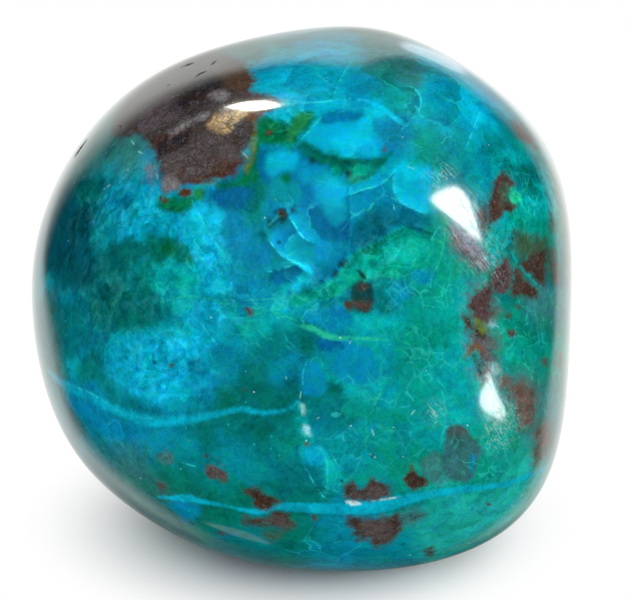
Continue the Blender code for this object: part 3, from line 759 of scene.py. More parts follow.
def skin_points(corners):
    """Points of the starting cube carried out to the stone's skin, and moved up to the floor if below it."""
    rays = unit(np.tan(corners * math.pi / 4))
    rays = unit(rays - FRONT_PULL * FORWARD)
    skin = HEART + rays * reach(rays)[:, None]
    swell = np.array([noise.noise(Vector(point / SWELL_LENGTH)) for point in skin])
    skin += rays * (SWELL_HEIGHT * swell)[:, None]
    low = skin[:, 2] < 0
    share = HEART[2] / (HEART[2] - skin[low, 2])
    skin[low] = HEART + (skin[low] - HEART) * share[:, None]
    skin[low, 2] = 0
    return skin


def fine_skin():
    """The stone's mesh, and its points as an array."""
    bm = bmesh.new()
    bmesh.ops.create_cube(bm, size=2)
    bmesh.ops.subdivide_edges(bm, edges=bm.edges[:], cuts=FINE_CUTS, use_grid_fill=True)
    mesh = bpy.data.meshes.new("stone_skin")
    bm.to_mesh(mesh)
    bm.free()
    corners = np.empty(len(mesh.vertices) * 3)
    mesh.vertices.foreach_get("co", corners)
    points = skin_points(corners.reshape(-1, 3))
    mesh.vertices.foreach_set("co", points.ravel())
    mesh.shade_smooth()
    mesh.update()
    return mesh, points


def vertex_normals(mesh):
    normals = np.empty(len(mesh.vertices) * 3)
    mesh.vertex_normals.foreach_get("vector", normals)
    return normals.reshape(-1, 3)


# ---- Places in the photograph ------------------------------------------------

def photo_place(points):
    """Where points fall in the photograph, in pixels."""
    offset = points - CAMERA_PLACE
    depth = offset @ FORWARD
    across = PHOTO_WIDTH / 2 + FOCAL_PX * (offset @ RIGHT) / depth
    down = PHOTO_HEIGHT / 2 - FOCAL_PX * (offset @ UP) / depth
    return np.stack((across, down), axis=1)


def facing(points, normals):
    """1 where the skin faces the camera, 0 on the outline, below 0 behind it."""
    return np.sum(normals * unit(CAMERA_PLACE - points), axis=1)


def unfolded_place(points, facing_us):
    """The place in the photograph, and past the outline the same frame unfolded outwards."""
    offset = photo_place(points) - STONE_MIDDLE_PX
    radius = np.maximum(np.linalg.norm(offset, axis=1), 1.0)
    turn = np.arctan2(offset[:, 1], offset[:, 0])
    slot = ((turn / math.tau + 0.5) * OUTLINE_BINS).astype(int) % OUTLINE_BINS
    outline = np.zeros(OUTLINE_BINS)
    np.maximum.at(outline, slot, radius)
    middles = ((np.arange(OUTLINE_BINS) + 0.5) / OUTLINE_BINS - 0.5) * math.tau
    limit = np.interp(turn, middles, outline, period=math.tau)
    stretch = np.where(facing_us < 0, np.maximum(2 * limit / radius - 1, 1.0), 1.0)
    return STONE_MIDDLE_PX + offset * stretch[:, None]


def wander(points, length_mm, seed, octaves=3):
    """A smooth random value from about -1 to 1 at each point, different for each seed."""
    shift = Vector((seed * 17.3, seed * 5.1, seed * 9.7))
    scale = 1 / (length_mm * MM)
    values = (noise.fractal(Vector(point * scale) + shift, 0.8, 2.0, octaves) for point in points)
    return np.fromiter(values, float, len(points))


def wander_both(points, length_mm, seeds, octaves=3):
    """Two such values at each point, to push it across and down."""
    return np.stack([wander(points, length_mm, seed, octaves) for seed in seeds], axis=1)


def ramp(values, low, high):
    """0 below low, 1 above high, and smooth between."""
    share = np.clip((values - low) / (high - low), 0, 1)
    return share * share * (3 - 2 * share)


# ---- Laying the marks --------------------------------------------------------

def smooth_line(points, closed):
    """Points joined by a smooth curve, each stretch a Catmull-Rom arc. Columns past x and y go along."""
    points = np.array(points, float)
    count = len(points)
    pieces = []
    for i in range(count if closed else count - 1):
        if closed:
            a, b, c, d = (points[(i + k) % count] for k in (-1, 0, 1, 2))
        else:
            a, b, c, d = (points[min(max(i + k, 0), count - 1)] for k in (-1, 0, 1, 2))
        for t in np.arange(SMOOTH_STEPS) / SMOOTH_STEPS:
            bend = (2 * a - 5 * b + 4 * c - d) * t**2 + (3 * b - a - 3 * c + d) * t**3
            pieces.append(0.5 * (2 * b + (c - a) * t + bend))
    if not closed:
        pieces.append(points[-1])
    return np.array(pieces)


def nearest_on_line(places, line):
    """For each place: distance to the line, signed across it, overshoot past its ends, and where along it."""
    best = np.full(len(places), np.inf)
    side, past, along = np.zeros((3, len(places)))
    last = len(line) - 2
    for i, (start, end) in enumerate(zip(line[:-1, :2], line[1:, :2])):
        step = end - start
        length = max(float(np.hypot(*step)), 1e-6)
        offset = places - start
        t = offset @ step / length**2
        held = np.clip(t, 0, 1)
        distance = np.linalg.norm(offset - held[:, None] * step, axis=1)
        over = np.zeros(len(places))
        if i == 0:
            over = np.maximum(over, -t * length)
        if i == last:
            over = np.maximum(over, (t - 1) * length)
        closer = distance < best
        best = np.where(closer, distance, best)
        side = np.where(closer, (step[0] * offset[:, 1] - step[1] * offset[:, 0]) / length, side)
        past = np.where(closer, over, past)
        along = np.where(closer, i + held, along)
    return best, side, past, along


def inside(places, outline):
    """True within a closed outline."""
    found = np.zeros(len(places), bool)
    x, y = places[:, 0], places[:, 1]
    for (x0, y0), (x1, y1) in zip(outline, np.roll(outline, -1, axis=0)):
        if y0 == y1:
            continue
        crosses = (y0 > y) != (y1 > y)
        found ^= crosses & (x < x0 + (y - y0) * (x1 - x0) / (y1 - y0))
    return found


def close_by(places, outline, margin):
    """Which places lie within a margin of an outline's box."""
    low = outline[:, :2].min(axis=0) - margin
    high = outline[:, :2].max(axis=0) + margin
    return np.flatnonzero(np.all((places > low) & (places < high), axis=1))


def patch_layer(places, marks, hidden):
    """The marks' joint field, above 0 inside them, and their colour, a later mark over an earlier one."""
    field = np.full(len(places), FAR)
    colour = np.zeros((len(places), 3))
    for name, softness, outline in marks.values():
        outline = smooth_line(outline, closed=True)
        picked = close_by(places, outline, -FAR * softness)
        ring = np.vstack((outline, outline[:1]))
        distance = nearest_on_line(places[picked], ring)[0]
        value = np.where(inside(places[picked], outline), distance, -distance) / softness
        share = np.maximum(ramp(value, -PATCH_BLEND, PATCH_BLEND), value > field[picked])[:, None]
        colour[picked] += share * (np.array(COLOURS[name]) - colour[picked])
        field[picked] = np.maximum(field[picked], value)
    return np.clip(field, FAR, -FAR) + 2 * FAR * hidden, colour


def thin_marks():
    """The lines and the flecks: colour, width and points of each."""
    flecks = [(name, width, ends) for name, strokes in FLECKS.items() for width, *ends in strokes]
    return [*LINES.values(), *flecks]


def line_layer(places):
    """The signed distance across the nearest line, its half width, below 0 away from it, and its colour."""
    side = np.full(len(places), LINE_REACH_PX)
    half = np.full(len(places), -1.0)
    colour = np.zeros((len(places), 3))
    best = np.full(len(places), LINE_REACH_PX)
    for name, width, points in thin_marks():
        line = smooth_line(points, closed=False)
        picked = close_by(places, line, LINE_REACH_PX)
        distance, across, past, along = nearest_on_line(places[picked], line)
        closer = distance < best[picked]
        chosen = picked[closer]
        best[chosen] = distance[closer]
        side[chosen] = across[closer]
        taper = np.minimum(1.0, LINE_TIP + np.minimum(along, len(line) - 1 - along) / SMOOTH_STEPS)
        half[chosen] = (width / 2 * taper - past)[closer]
        colour[chosen] = COLOURS[name]
    return side, half, colour


def vein_layer(points, places, facing_us):
    """The veins' joint field, above 0 inside them, and their colour. Each goes on behind as a sheet."""
    field = np.full(len(places), FAR)
    colour = np.tile(COLOURS["turquoise"], (len(places), 1))
    for name, softness, line in VEINS.values():
        line = smooth_line(line, closed=False)
        picked = close_by(places, line, VEIN_REACH_PX)
        distance, _, _, along = nearest_on_line(places[picked], line)
        width = np.interp(along, np.arange(len(line)), line[:, 2])
        value = (width / 2 - distance) / softness
        better = value > field[picked]
        field[picked[better]] = value[better]
        colour[picked[better]] = COLOURS[name]
    wave = SHEET_WAVE_MM * wander(points, SHEET_WAVE_LENGTH_MM, WAVE_SEED)
    mean, varying = SHEET_SWELL
    swell = mean + varying * wander(points, SHEET_SWELL_LENGTH_MM, SWELL_SEED)
    for height, tilt, width in VEIN_SHEETS_MM.values():
        level = height + points[:, 0] / MM * tilt + wave
        value = (width * swell / 2 - np.abs(points[:, 2] / MM - level)) / SHEET_SOFTNESS_MM
        field = np.maximum(field, np.where(facing_us < -SHEET_TURN, value, FAR))
    return np.clip(field, FAR, -FAR), colour


def far_colour(points):
    """The ground away from the named zones: colours that take over from one another as slow noise rises."""
    ladder = np.array([COLOURS[name] for name in FAR_LADDER])
    height = 0.5 + FAR_CONTRAST * wander(points, FAR_LENGTH_MM, LADDER_SEED, 5)
    place = np.clip(height, 0, 1) * (len(ladder) - 1)
    low = np.minimum(place.astype(int), len(ladder) - 2)
    share = (place - low)[:, None]
    return ladder[low] * (1 - share) + ladder[low + 1] * share


def past_outline(points, facing_us):
    """0 in front, rising to 1 behind, where the far side's own pattern takes over along a wandering edge."""
    edge = PAST_WANDER * wander(points, PAST_WANDER_MM, PAST_SEED) * ramp(-facing_us, *PAST_WANDER_TURN)
    return ramp(-facing_us + edge, *PAST_OUTLINE)


def ground_colour(points, places, hidden):
    """Soft zones blended by how near they are, with their edges wandering."""
    drift = wander_both(points, GROUND_WANDER_MM, GROUND_SEEDS, 4)
    moved = places + GROUND_WANDER_PX * drift
    hidden = hidden[:, None]
    far = far_colour(points)
    total = np.full(len(places), FAR_SHARE)
    colour = far * FAR_SHARE
    for name, zones in GROUND.items():
        for x, y, spread in zones:
            weight = np.exp(-np.sum((moved - (x, y)) ** 2, axis=1) / spread**2)
            total += weight
            colour += weight[:, None] * np.array(COLOURS[name])
    return colour / total[:, None] * (1 - hidden) + far * hidden


def add_shade(total, places, points, strength, reach_px):
    """Lightens the stone, or below 0 darkens it, along the right-hand side of a line."""
    line = smooth_line(points, closed=False)
    picked = close_by(places, line, 3 * reach_px)
    distance, across, past, _ = nearest_on_line(places[picked], line)
    fade = ramp(across, -1.0, 1.0) * np.exp(-2 * distance / reach_px) * ramp(-past, -reach_px, 0)
    total[picked] += strength * fade


def shade_layer(places):
    """How much lighter, or below 0 darker, the stone is along its inner edges."""
    total = np.zeros(len(places))
    for right, left, points in SHADES.values():
        add_shade(total, places, points, *right)
        if left:
            add_shade(total, places, points[::-1], *left)
    return total


def texture_weight(points, places, facing_us, zones, seed, most_behind):
    """How much a fine texture tells: by its zones in front, and by slow noise behind."""
    weight = np.zeros(len(places))
    for x, y, spread in zones:
        weight = np.maximum(weight, np.exp(-np.sum((places - (x, y)) ** 2, axis=1) / spread**2))
    islands = ramp(wander(points, FAR_TEXTURE_LENGTH_MM, seed), *FAR_TEXTURE_LEVEL)
    return np.maximum(weight, most_behind * ramp(-facing_us, *FAR_TEXTURE_TURN) * islands)


def far_browns(points, facing_us, field, colour):
    """Adds the far side's brown patches, where a noise rises over a level."""
    islands = wander(points, FAR_BROWN_LENGTH_MM, BROWN_SEED, 5) - FAR_BROWN_LEVEL
    near_outline = 1 - ramp(-facing_us, *FAR_BROWN_TURN)
    value = np.minimum(islands * FAR_BROWN_STEEPNESS, -FAR) + 2 * FAR * near_outline
    value = np.where(facing_us < 0, value, FAR)
    share = ramp(wander(points, FAR_BROWN_HUE_MM, BROWN_HUE_SEED), *FAR_BROWN_HUE)[:, None]
    mixed = np.array(COLOURS["umber"]) * (1 - share) + np.array(COLOURS["maroon"]) * share
    taken = value > field
    colour[taken] = mixed[taken]
    return np.clip(np.maximum(field, value), FAR, -FAR), colour


def add_field(mesh, name, values):
    attribute = mesh.attributes.new(name, "FLOAT", "POINT")
    attribute.data.foreach_set("value", values.astype(np.float32))


def add_colour(mesh, name, values):
    attribute = mesh.attributes.new(name, "FLOAT_COLOR", "POINT")
    rgba = np.concatenate((values, np.ones((len(values), 1))), axis=1)
    attribute.data.foreach_set("color", rgba.astype(np.float32).ravel())


def add_layer(mesh, name, layer):
    field, colour = layer
    add_field(mesh, name, field)
    add_colour(mesh, name + "_colour", colour)


def add_textures(mesh, points, places, facing_us):
    for seed, (name, zones) in enumerate(TEXTURES.items(), start=FIRST_TEXTURE_SEED):
        most_behind = MOST_BEHIND.get(name, MOST_BEHIND["other"])
        add_field(mesh, name, texture_weight(points, places, facing_us, zones, seed, most_behind))


def mark_skin(mesh, points):
    """Lays every mark on the mesh as attributes for the material, and returns its normals."""
    normals = vertex_normals(mesh)
    facing_us = facing(points, normals)
    hidden = past_outline(points, facing_us)
    push = FAR_WANDER_PX * wander_both(points, FAR_WANDER_MM, PUSH_SEEDS, 4)
    places = unfolded_place(points, facing_us) + push * ramp(-facing_us, *PUSH_TURN)[:, None]
    ragged = places + EDGE_WANDER_PX * wander_both(points, EDGE_WANDER_MM, EDGE_SEEDS)
    side, half, line_colour = line_layer(places)
    browns = patch_layer(ragged, BROWNS, hidden)
    add_colour(mesh, "ground", ground_colour(points, places, hidden))
    add_field(mesh, "shade", shade_layer(places) * (1 - hidden))
    add_layer(mesh, "patch", patch_layer(ragged, PATCHES, hidden))
    add_layer(mesh, "brown", far_browns(points, facing_us, *browns))
    add_layer(mesh, "vein", vein_layer(points, places, facing_us))
    add_field(mesh, "line_side", side)
    add_layer(mesh, "line", (half, line_colour))
    add_textures(mesh, points, places, facing_us)
    return normals


# ---- Material ----------------------------------------------------------------

class Graph:
    """Short names for a material's nodes. Lengths and sizes are in the unit of their coordinates."""

    def __init__(self, owner):
        owner.use_nodes = True
        self.tree = owner.node_tree
        self.tree.nodes.clear()

    def node(self, kind, inputs=None, **settings):
        made = self.tree.nodes.new("ShaderNode" + kind)
        for name, value in settings.items():
            setattr(made, name, value)
        for key, value in (inputs or {}).items():
            self.feed(made.inputs[key], value)
        return made

    def feed(self, socket, value):
        if isinstance(value, bpy.types.NodeSocket):
            self.tree.links.new(value, socket)
        else:
            socket.default_value = value

    def math(self, operation, a, b=0.0, c=0.0):
        return self.node("Math", {0: a, 1: b, 2: c}, operation=operation).outputs[0]

    def add(self, *terms):
        total = terms[0]
        for term in terms[1:]:
            total = self.math("ADD", total, term)
        return total

    def times(self, *factors):
        product = factors[0]
        for factor in factors[1:]:
            product = self.math("MULTIPLY", product, factor)
        return product

    def line(self, value, slope, start):
        """slope * value + start"""
        return self.math("MULTIPLY_ADD", value, slope, start)

    def about(self, value, slope):
        """slope times how far a noise is above its mean of a half"""
        return self.line(value, slope, -slope / 2)

    def step(self, value, low, high):
        """0 below low, 1 above high, and smooth between."""
        inputs = {"Value": value, "From Min": low, "From Max": high}
        return self.node("MapRange", inputs, interpolation_type="SMOOTHSTEP").outputs["Result"]

    def mix(self, share, a, b):
        """The colour a, and by its share b."""
        made = self.node("Mix", data_type="RGBA")
        self.feed(made.inputs[0], share)
        for slot, colour in ((6, a), (7, b)):
            linked = isinstance(colour, bpy.types.NodeSocket)
            self.feed(made.inputs[slot], colour if linked else (*colour, 1.0))
        return made.outputs[2]

    def vector(self, operation, a, b=None, scale=None, output=0):
        inputs = {0: a}
        if b is not None:
            inputs[1] = b
        if scale is not None:
            inputs["Scale"] = scale
        return self.node("VectorMath", inputs, operation=operation).outputs[output]

    def scaled(self, colour, factor):
        """A colour made lighter or darker by a number."""
        return self.vector("SCALE", colour, scale=factor)

    def moved(self, where, *shift):
        return self.vector("ADD", where, shift)

    def value(self, name):
        return self.node("Attribute", attribute_name=name).outputs["Fac"]

    def colour(self, name):
        return self.node("Attribute", attribute_name=name).outputs["Color"]

    def noise(self, where, length, detail=3.0, rough=0.55, warp=0.0, output="Fac"):
        inputs = {"Vector": where, "Scale": 1 / length, "Detail": detail}
        return self.node("TexNoise", {**inputs, "Roughness": rough, "Distortion": warp}).outputs[output]

    def cells(self, where, size, feature="F1"):
        return self.node("TexVoronoi", {"Vector": where, "Scale": 1 / size}, feature=feature).outputs

    def cell_edge(self, where, size):
        """How far it is to the nearest edge of a net of cells, in units of their size."""
        return self.cells(where, size, "DISTANCE_TO_EDGE")["Distance"]

    def random(self, cells):
        """Three random values for each cell."""
        return self.node("SeparateColor", {0: cells["Color"]}).outputs

    def stretched(self, where, sizes, turn):
        """Coordinates in which a pattern comes out drawn out by these sizes along turned axes."""
        inputs = {"Vector": where, "Scale": sizes, "Rotation": turn}
        return self.node("Mapping", inputs, vector_type="TEXTURE").outputs[0]

    def glow(self, colour, strength):
        return self.node("Emission", {"Color": (*colour, 1.0), "Strength": strength}).outputs[0]

    def clear(self):
        return self.node("BsdfTransparent").outputs[0]

    def blend(self, share, a, b):
        """The shader a, and by its share b."""
        return self.node("MixShader", {0: share, 1: a, 2: b}).outputs[0]

    def finish(self, shader, kind="OutputMaterial"):
        self.node(kind, {"Surface": shader})


def new_material(name):
    material = bpy.data.materials.new(name)
    return material, Graph(material)


def millimetres(g):
    """Texture coordinates in millimetres: plain, and bent as the stone's plates are."""
    metres = g.node("TexCoord").outputs["Object"]
    where = g.vector("SCALE", metres, scale=1 / MM)
    swirl = g.noise(where, *SWIRL, output="Color")
    bend = {0: swirl, 1: (BEND_MM,) * 3, 2: where}
    return where, g.node("VectorMath", bend, operation="MULTIPLY_ADD").outputs[0]


def tones(g, where, bent):
    """Lighter and darker around 1, at four scales, and the curds and grain among them."""
    curds = g.noise(where, *CURDS)
    grain = g.noise(where, *GRAIN)
    clouds = g.about(g.noise(bent, *CLOUDS), CLOUD_CONTRAST)
    total = g.add(clouds, g.about(curds, CURD_CONTRAST), g.about(grain, GRAIN_CONTRAST))
    total = g.times(total, g.line(g.value("smooth"), -SMOOTHED, 1.0))
    fibres = g.noise(g.stretched(bent, *FIBRE_STRETCH), *FIBRES)
    streaks = g.times(g.about(fibres, FIBRE_CONTRAST), g.value("streaked"))
    return g.add(total, streaks, g.value("shade"), 1.0), curds, grain


def tint(g, where, bent):
    """A multiplier that turns a colour a little greener here and bluer there."""
    hue = g.add(g.noise(bent, *TINT), g.noise(where, *FINE_TINT))
    return g.mix(g.step(hue, 0.72, 1.28), GREENER, BLUER)


def curdled(g, colour, where, bent):
    """Whitish curds strewn through the blue, with darker water between them, and banded in thin layers."""
    here = g.value("curdled")
    folds = g.noise(g.stretched(bent, *FOLD_STRETCH), *FOLDS)
    bright = g.times(g.step(folds, 0.47, 0.63), here)
    dark = g.times(g.step(folds, 0.50, 0.38), here)
    light = g.vector("ADD", g.scaled(colour, CURD_LIGHTER), CURD_LIGHT)
    colour = g.mix(g.times(bright, CURD_SHARE), colour, light)
    colour = g.scaled(colour, g.line(dark, -WATER_DARKER, 1.0))
    layers = g.math("FRACT", g.times(g.noise(g.moved(where, 11.0, 4.0, 8.0), *LAYERS), LAYER_COUNT))
    return g.scaled(colour, g.line(g.times(g.about(layers, 1.0), here), LAYER_CONTRAST, 1.0))


def plated(g, colour, where, bent):
    """Thin overlapping plates, each with a light edge and shading away from it."""
    here = g.value("plated")
    plates = g.cells(bent, PLATE_MM)
    offset = g.vector("SUBTRACT", bent, plates["Position"])
    across = g.vector("DOT_PRODUCT", offset, PLATE_SLOPE, output="Value")
    tone = g.add(g.times(across, PLATE_TILT), g.about(g.random(plates)[0], PLATE_CONTRAST))
    colour = g.scaled(colour, g.add(1.0, g.times(tone, here)))
    edge = g.step(g.cell_edge(bent, PLATE_MM), 0.035, 0.0)
    lip = g.times(edge, g.step(g.noise(where, *LIPS), 0.42, 0.62), here)
    return g.mix(g.times(lip, LIP_SHARE), colour, COLOURS["aqua"])


def crackled(g, colour, bent):
    """A net of hair cracks, healed pale."""
    here = g.value("crackled")
    for size, width, share, offset in CRACKS:
        where = g.stretched(g.moved(bent, offset, offset, offset), (1.0, 1.0, 1.8), (0.7, offset, 0.3))
        kept = g.step(g.noise(where, size * 1.3, 2.0), 0.45, 0.6)
        crack = g.times(g.step(g.cell_edge(where, size), width * 2, width * 0.3), kept, here, share)
        colour = g.mix(crack, colour, COLOURS["crack"])
    return colour


def specked(g, colour, where):
    """Stray white specks and dark dots."""
    here = g.value("speckled")
    for size, chance, radius, strength, offset, name in SPECKS:
        spots = g.cells(g.moved(where, offset, offset, offset), size)
        near = g.step(spots["Distance"], radius, radius * 0.4)
        some = g.step(g.line(here, chance, g.random(spots)[0]), 0.97, 0.98)
        colour = g.mix(g.times(near, some, strength), colour, COLOURS[name])
    return colour


def brown_stone(g, where, bent):
    """Tenorite and iron ore: dark grains with purple and red ones, ashy speckle and black cracks."""
    colour = g.colour("brown_colour")
    here = g.value("crazed")
    purple, red, _ = g.random(g.cells(g.moved(bent, 7.0, 3.0, 5.0), BROWN_GRAIN_MM))
    purple = g.times(g.step(purple, 0.55, 0.9), g.line(here, 0.7, 0.3), PURPLE_SHARE)
    colour = g.mix(purple, colour, COLOURS["purple"])
    colour = g.mix(g.times(g.step(red, 0.75, 0.95), RED_SHARE), colour, COLOURS["dark_red"])
    mottle = g.noise(where, *MOTTLE)
    grain = g.noise(where, *BROWN_GRAIN)
    tone = g.add(g.line(mottle, MOTTLE_CONTRAST, -0.1), g.about(grain, BROWN_GRAIN_CONTRAST))
    colour = g.scaled(colour, tone)
    speckle = g.step(g.noise(where, *SPECKLE), 0.56, 0.68)
    colour = g.mix(g.times(speckle, ASH_SHARE), colour, COLOURS["ash"])
    crack = g.times(g.step(g.cell_edge(bent, BROWN_CRACK_MM), 0.12, 0.01), g.step(mottle, 0.36, 0.55), here)
    return g.mix(g.times(crack, BLACK_CRACK_SHARE), colour, COLOURS["soot"])


def blue_stone(g, where, bent, ragged):
    """The ground and its patches, with their fine textures."""
    patch = g.step(g.add(g.value("patch"), ragged), -1.1, 1.1)
    colour = g.mix(patch, g.colour("ground"), g.colour("patch_colour"))
    colour = curdled(g, colour, where, bent)
    colour = plated(g, colour, where, bent)
    colour = g.vector("MULTIPLY", colour, tint(g, where, bent))
    return crackled(g, colour, bent)


def thin_line(g, curds):
    """1 on the fine lines, which break up among the curds."""
    depth = g.math("SUBTRACT", g.value("line"), g.math("ABSOLUTE", g.value("line_side")))
    return g.times(g.step(depth, -0.9, 0.6), g.step(curds, 0.36, 0.56))


def marked_stone(g, where, bent):
    """The stone's colour with all its marks, its grain, and where it is pitted."""
    tone, curds, grain = tones(g, where, bent)
    ragged = g.about(g.noise(where, *RAGGED), RAGGED_EDGE)
    colour = blue_stone(g, where, bent, ragged)
    vein = g.step(g.add(g.value("vein"), g.times(ragged, RAGGED_VEIN)), -0.7, 0.7)
    filled = g.times(vein, g.line(g.noise(where, *FILLING), 1.1, 0.25))
    colour = g.mix(filled, colour, g.colour("vein_colour"))
    line = thin_line(g, curds)
    colour = g.mix(g.times(line, LINE_SHARE), colour, g.colour("line_colour"))
    colour = specked(g, g.scaled(colour, tone), where)
    brown = g.step(g.add(g.value("brown"), ragged), -0.8, 1.5)
    colour = g.mix(brown, colour, brown_stone(g, where, bent))
    pit = g.times(line, g.value("pitted"))
    return g.mix(pit, colour, COLOURS["soot"]), grain, pit


def scratched(g, where):
    """Fine scratches in the polish, where it is scuffed."""
    hairs = g.noise(g.stretched(where, *SCRATCH_STRETCH), *SCRATCHES)
    cross = g.noise(g.stretched(where, *CROSS_SCRATCH_STRETCH), *CROSS_SCRATCHES)
    both = g.add(g.step(hairs, 0.52, 0.60), g.times(g.step(cross, 0.55, 0.62), CROSS_SCRATCH_SHARE))
    return g.times(both, g.value("scuffed"))


def stone_material():
    """Polished stone: the marks under a clear coat, with scuffs, pits and faint dents in the polish. The
    scuffs' white is partly a painted haze round the highlights.
    """
    material, g = new_material("polished_chrysocolla")
    where, bent = millimetres(g)
    colour, grain, pit = marked_stone(g, where, bent)
    scuffs = scratched(g, where)
    height = g.add(scuffs, g.times(grain, GRAIN_RELIEF), g.times(g.noise(where, *DENTS), DENT_RELIEF))
    bump = g.node("Bump", {"Height": height, "Strength": RELIEF_STRENGTH, "Distance": RELIEF_HEIGHT})
    shader = g.node("BsdfPrincipled", {
        # the scuffs' white is partly a painted haze round the highlights
        "Base Color": g.mix(g.times(scuffs, SCRATCH_AND_HIGHLIGHT_WHITE), colour, COLOURS["white"]),
        "Roughness": g.add(g.line(grain, GRAIN_ROUGHNESS, POLISHED), g.times(scuffs, SCUFF_ROUGHNESS), pit),
        "IOR": 1.50,
        "Specular IOR Level": 0.35,
        "Coat Weight": g.times(g.line(scuffs, -SCUFFED_COAT, COAT), g.line(pit, -1.0, 1.0)),
        "Coat Roughness": 0.04,
        "Coat IOR": 1.45,
        "Normal": bump.outputs[0],
    })
    g.finish(shader.outputs[0])
    return material


# ---- Stage, lights and camera ------------------------------------------------

def place_in_scene(name, data):
    made = bpy.data.objects.new(name, data)
    bpy.context.scene.collection.objects.link(made)
    return made


def hide_from(piece, *rays):
    for kind in rays:
        setattr(piece, "visible_" + kind, False)


def add_mesh(name, points, faces, material):
    mesh = bpy.data.meshes.new(name)
    mesh.from_pydata([tuple(point) for point in points], [], faces)
    mesh.materials.append(material)
    return place_in_scene(name, mesh)


def add_sheet(name, half_width, height, material):
    corners = [(x * half_width, y * half_width, height) for x, y in ((-1, -1), (1, -1), (1, 1), (-1, 1))]
    return add_mesh(name, corners, [(0, 1, 2, 3)], material)


def away_from_foot(g):
    """How far a place on the floor is from the middle of the stone's foot, in metres, and the place."""
    where = g.node("TexCoord").outputs["Object"]
    return g.vector("LENGTH", g.vector("SUBTRACT", where, FLOOR_MIDDLE), output="Value"), where


def backdrop_material():
    material, g = new_material("backdrop_white")
    g.finish(g.glow(WHITE_LIGHT, 1.0))
    return material


def lamp_material(name, colour, strength):
    """A glow that dies away in streaks towards the lamp's edge."""
    material, g = new_material(name)
    where = g.stretched(g.node("TexCoord").outputs["Generated"], *LAMP_STRETCH)
    frayed = g.about(g.noise(where, 1.0, 4.0, 0.7), 0.9)
    inner = g.step(g.add(g.value("inner"), frayed), 0.02, 0.30)
    g.finish(g.blend(inner, g.clear(), g.glow(colour, strength)))
    return material


def floor_material():
    """White paper near the stone, with its shadow and a painted shade round its foot; further off as bright
    as the backdrop.
    """
    material, g = new_material("white_paper")
    away, where = away_from_foot(g)
    paper = g.mix(g.noise(where, *PAPER_FIBRE), PAPER_DARK, PAPER_LIGHT)
    matt = g.node("BsdfPrincipled", {"Base Color": paper, "Roughness": 0.9}).outputs[0]
    g.finish(g.blend(g.step(away, FLOOR_NEAR, FLOOR_FAR), matt, g.glow(WHITE_LIGHT, 1.0)))
    return material


def foot_shade_material():
    """The dark of the stone's own shadow, fading out."""
    material, g = new_material("foot_shade")
    away, _ = away_from_foot(g)
    dark = g.glow(FOOT_MIRRORED, FOOT_STRENGTH)
    g.finish(g.blend(g.step(away, FOOT_SHADE, FOOT_SHADE * 0.6), g.clear(), dark))
    return material


def tent_corners(g, axes):
    """1 in each of the tent's upper corners, left and right, and how much narrower the tent is there."""
    rise = g.add(axes["Z"], float(-FORWARD[2]))
    return [(g.step(g.times(axes["X"], side, rise), 0.02, 0.12), less) for side, less in TENT_CORNERS.items()]


def tent_breadth(g, way, axes, corners, top):
    """How close a direction is to the view direction, as a cosine, with the white made wider or narrower."""
    beyond = g.vector("DOT_PRODUCT", way, tuple(FORWARD), output="Value")
    beyond = g.line(g.step(axes["X"], 0.2, 0.7), TENT_RIGHT, beyond)
    for corner, narrower in corners:
        beyond = g.line(corner, -narrower, beyond)
    return g.add(beyond, top)


def tent_material():
    """White beyond the stone as the camera looks at it, which its rim mirrors, and dark elsewhere."""
    material, g = new_material("tent")
    way = g.vector("NORMALIZE", g.node("TexCoord").outputs["Object"])
    axes = g.node("SeparateXYZ", {0: way}).outputs
    corners = tent_corners(g, axes)
    centred = g.add(1.0, *(g.times(corner, -1.0) for corner, _ in corners))
    top = g.times(g.step(axes["Z"], 0.1, 0.5), g.step(axes["X"], -0.45, 0.05), centred, TENT_TOP)
    breadth = tent_breadth(g, way, axes, corners, top)
    white = g.step(breadth, math.cos(math.radians(TENT_EDGE)), math.cos(math.radians(TENT_FULL)))
    above = g.add(g.line(g.step(axes["Z"], -0.20, -0.02), TENT_ABOVE - 1, 1.0), top)
    low = g.step(axes["Z"], -0.34, -0.62)
    sides = g.times(g.step(g.math("ABSOLUTE", axes["X"]), 0.15, 0.40), TENT_LOW)
    strength = g.times(white, above, g.add(g.line(low, -1.0, 1.0), g.times(low, sides)))
    g.finish(g.glow(TENT_COLOUR, strength))
    return material


def add_floor():
    floor = add_sheet("floor", FLOOR_RADIUS, 0, floor_material())
    hide_from(floor, "glossy")
    return floor


def add_foot_shade():
    """A sheet on the floor that only reflections see, so that the stone mirrors its own shadow."""
    shade = add_sheet("foot_shade", 1.5 * FOOT_SHADE, FOOT_SHADE_HEIGHT, foot_shade_material())
    hide_from(shade, "camera", "diffuse", "transmission", "shadow")
    return shade


def add_dome(name, radius, material):
    bm = bmesh.new()
    across, up = DOME_RINGS
    bmesh.ops.create_uvsphere(bm, u_segments=across, v_segments=up, radius=radius)
    mesh = bpy.data.meshes.new(name)
    bm.to_mesh(mesh)
    bm.free()
    mesh.materials.append(material)
    dome = place_in_scene(name, mesh)
    hide_from(dome, "diffuse", "transmission", "shadow")
    return dome


def add_domes():
    """A white backdrop that only the camera sees, and a tent that only reflections see."""
    backdrop = add_dome("backdrop", DOME_RADIUS, backdrop_material())
    hide_from(backdrop, "glossy")
    tent = add_dome("tent", TENT_RADIUS, tent_material())
    hide_from(tent, "camera")
    return backdrop, tent


def set_world():
    """Even light from all round, as in a light tent, for matt shading alone."""
    world = bpy.data.worlds.new("studio")
    bpy.context.scene.world = world
    g = Graph(world)
    back = g.node("Background", {"Color": (*WORLD_COLOUR, 1.0), "Strength": WORLD_LIGHT})
    g.finish(back.outputs[0], "OutputWorld")
    world.cycles_visibility.glossy = False
    world.cycles_visibility.camera = False


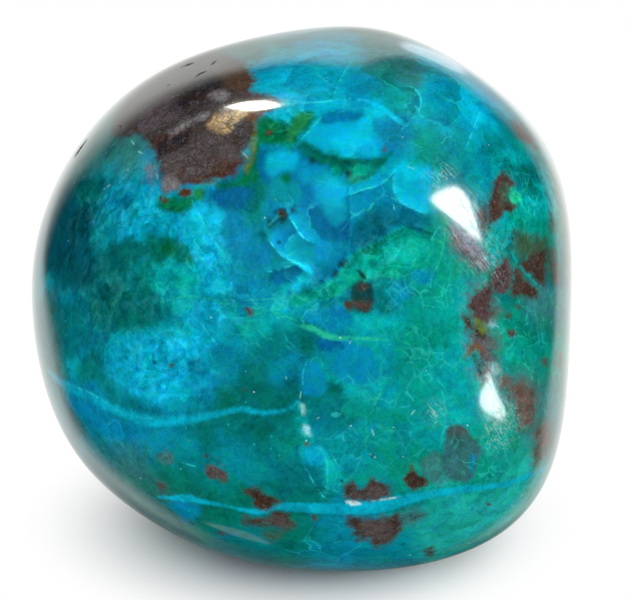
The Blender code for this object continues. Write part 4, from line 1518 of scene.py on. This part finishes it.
def add_softbox(name, place, size, power, colour):
    data = bpy.data.lights.new(name, "AREA")
    data.shape = "DISK"
    data.size = size
    data.energy = power
    data.color = colour
    lamp = place_in_scene(name, data)
    lamp.location = place
    lamp.rotation_euler = (Vector(HEART) - Vector(place)).to_track_quat("-Z", "Y").to_euler()
    hide_from(lamp, "camera", "glossy")


def skin_at(places, points, normals, spot):
    """The skin's point and normal that the photograph shows at a place."""
    weight = np.exp(-np.sum((places - spot) ** 2, axis=1) / LAMP_SPOT)
    point = (points * weight[:, None]).sum(axis=0) / weight.sum()
    normal = unit((normals * weight[:, None]).sum(axis=0))
    return point, normal


def add_lamp(name, distance, strength, colour, outline, seen):
    """A glowing sheet whose reflection in the stone has this outline."""
    ring = smooth_line(outline, closed=True)
    corners = []
    for spot in (*ring, ring.mean(axis=0)):
        point, normal = skin_at(*seen, spot)
        sight = unit(point - CAMERA_PLACE)
        away = sight - 2 * (sight @ normal) * normal
        corners.append(point + distance * away)
    count = len(ring)
    faces = [(i, (i + 1) % count, count) for i in range(count)]
    lamp = add_mesh(name, corners, faces, lamp_material(name, colour, strength))
    add_field(lamp.data, "inner", np.append(np.zeros(count), 1.0))
    hide_from(lamp, "camera", "diffuse")
    return lamp


def add_camera():
    data = bpy.data.cameras.new("camera")
    data.lens = LENS_MM
    data.sensor_width = SENSOR_MM
    data.clip_start, data.clip_end = CAMERA_REACH
    camera = place_in_scene("camera", data)
    camera.location = CAMERA_PLACE
    camera.rotation_euler = Vector(FORWARD).to_track_quat("-Z", "Y").to_euler()
    bpy.context.scene.camera = camera


def add_stone():
    """Puts the marked stone in the scene, and returns its points and normals."""
    mesh, points = fine_skin()
    normals = mark_skin(mesh, points)
    mesh.materials.append(stone_material())
    stone = place_in_scene("chrysocolla_stone", mesh)
    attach(stone, "root")
    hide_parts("stone")
    return points, normals


def seen_skin(points, normals):
    """The places, points and normals of the skin that faces the camera."""
    front = facing(points, normals) > 0
    return photo_place(points[front]), points[front], normals[front]


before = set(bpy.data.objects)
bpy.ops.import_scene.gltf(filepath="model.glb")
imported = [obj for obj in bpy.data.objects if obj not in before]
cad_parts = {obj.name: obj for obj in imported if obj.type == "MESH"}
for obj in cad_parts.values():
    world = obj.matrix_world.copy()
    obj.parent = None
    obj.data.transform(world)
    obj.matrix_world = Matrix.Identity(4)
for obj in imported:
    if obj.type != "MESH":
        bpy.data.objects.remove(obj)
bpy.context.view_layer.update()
add_camera()
skin = add_stone()
seen = seen_skin(*skin)
set_world()
add_floor()
add_foot_shade()
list(add_domes())
for name, settings in SOFTBOXES.items():
    add_softbox(name, *settings)
for name, settings in LAMPS.items():
    add_lamp(name, *settings, seen)
bpy.context.scene.view_settings.view_transform = "Standard"
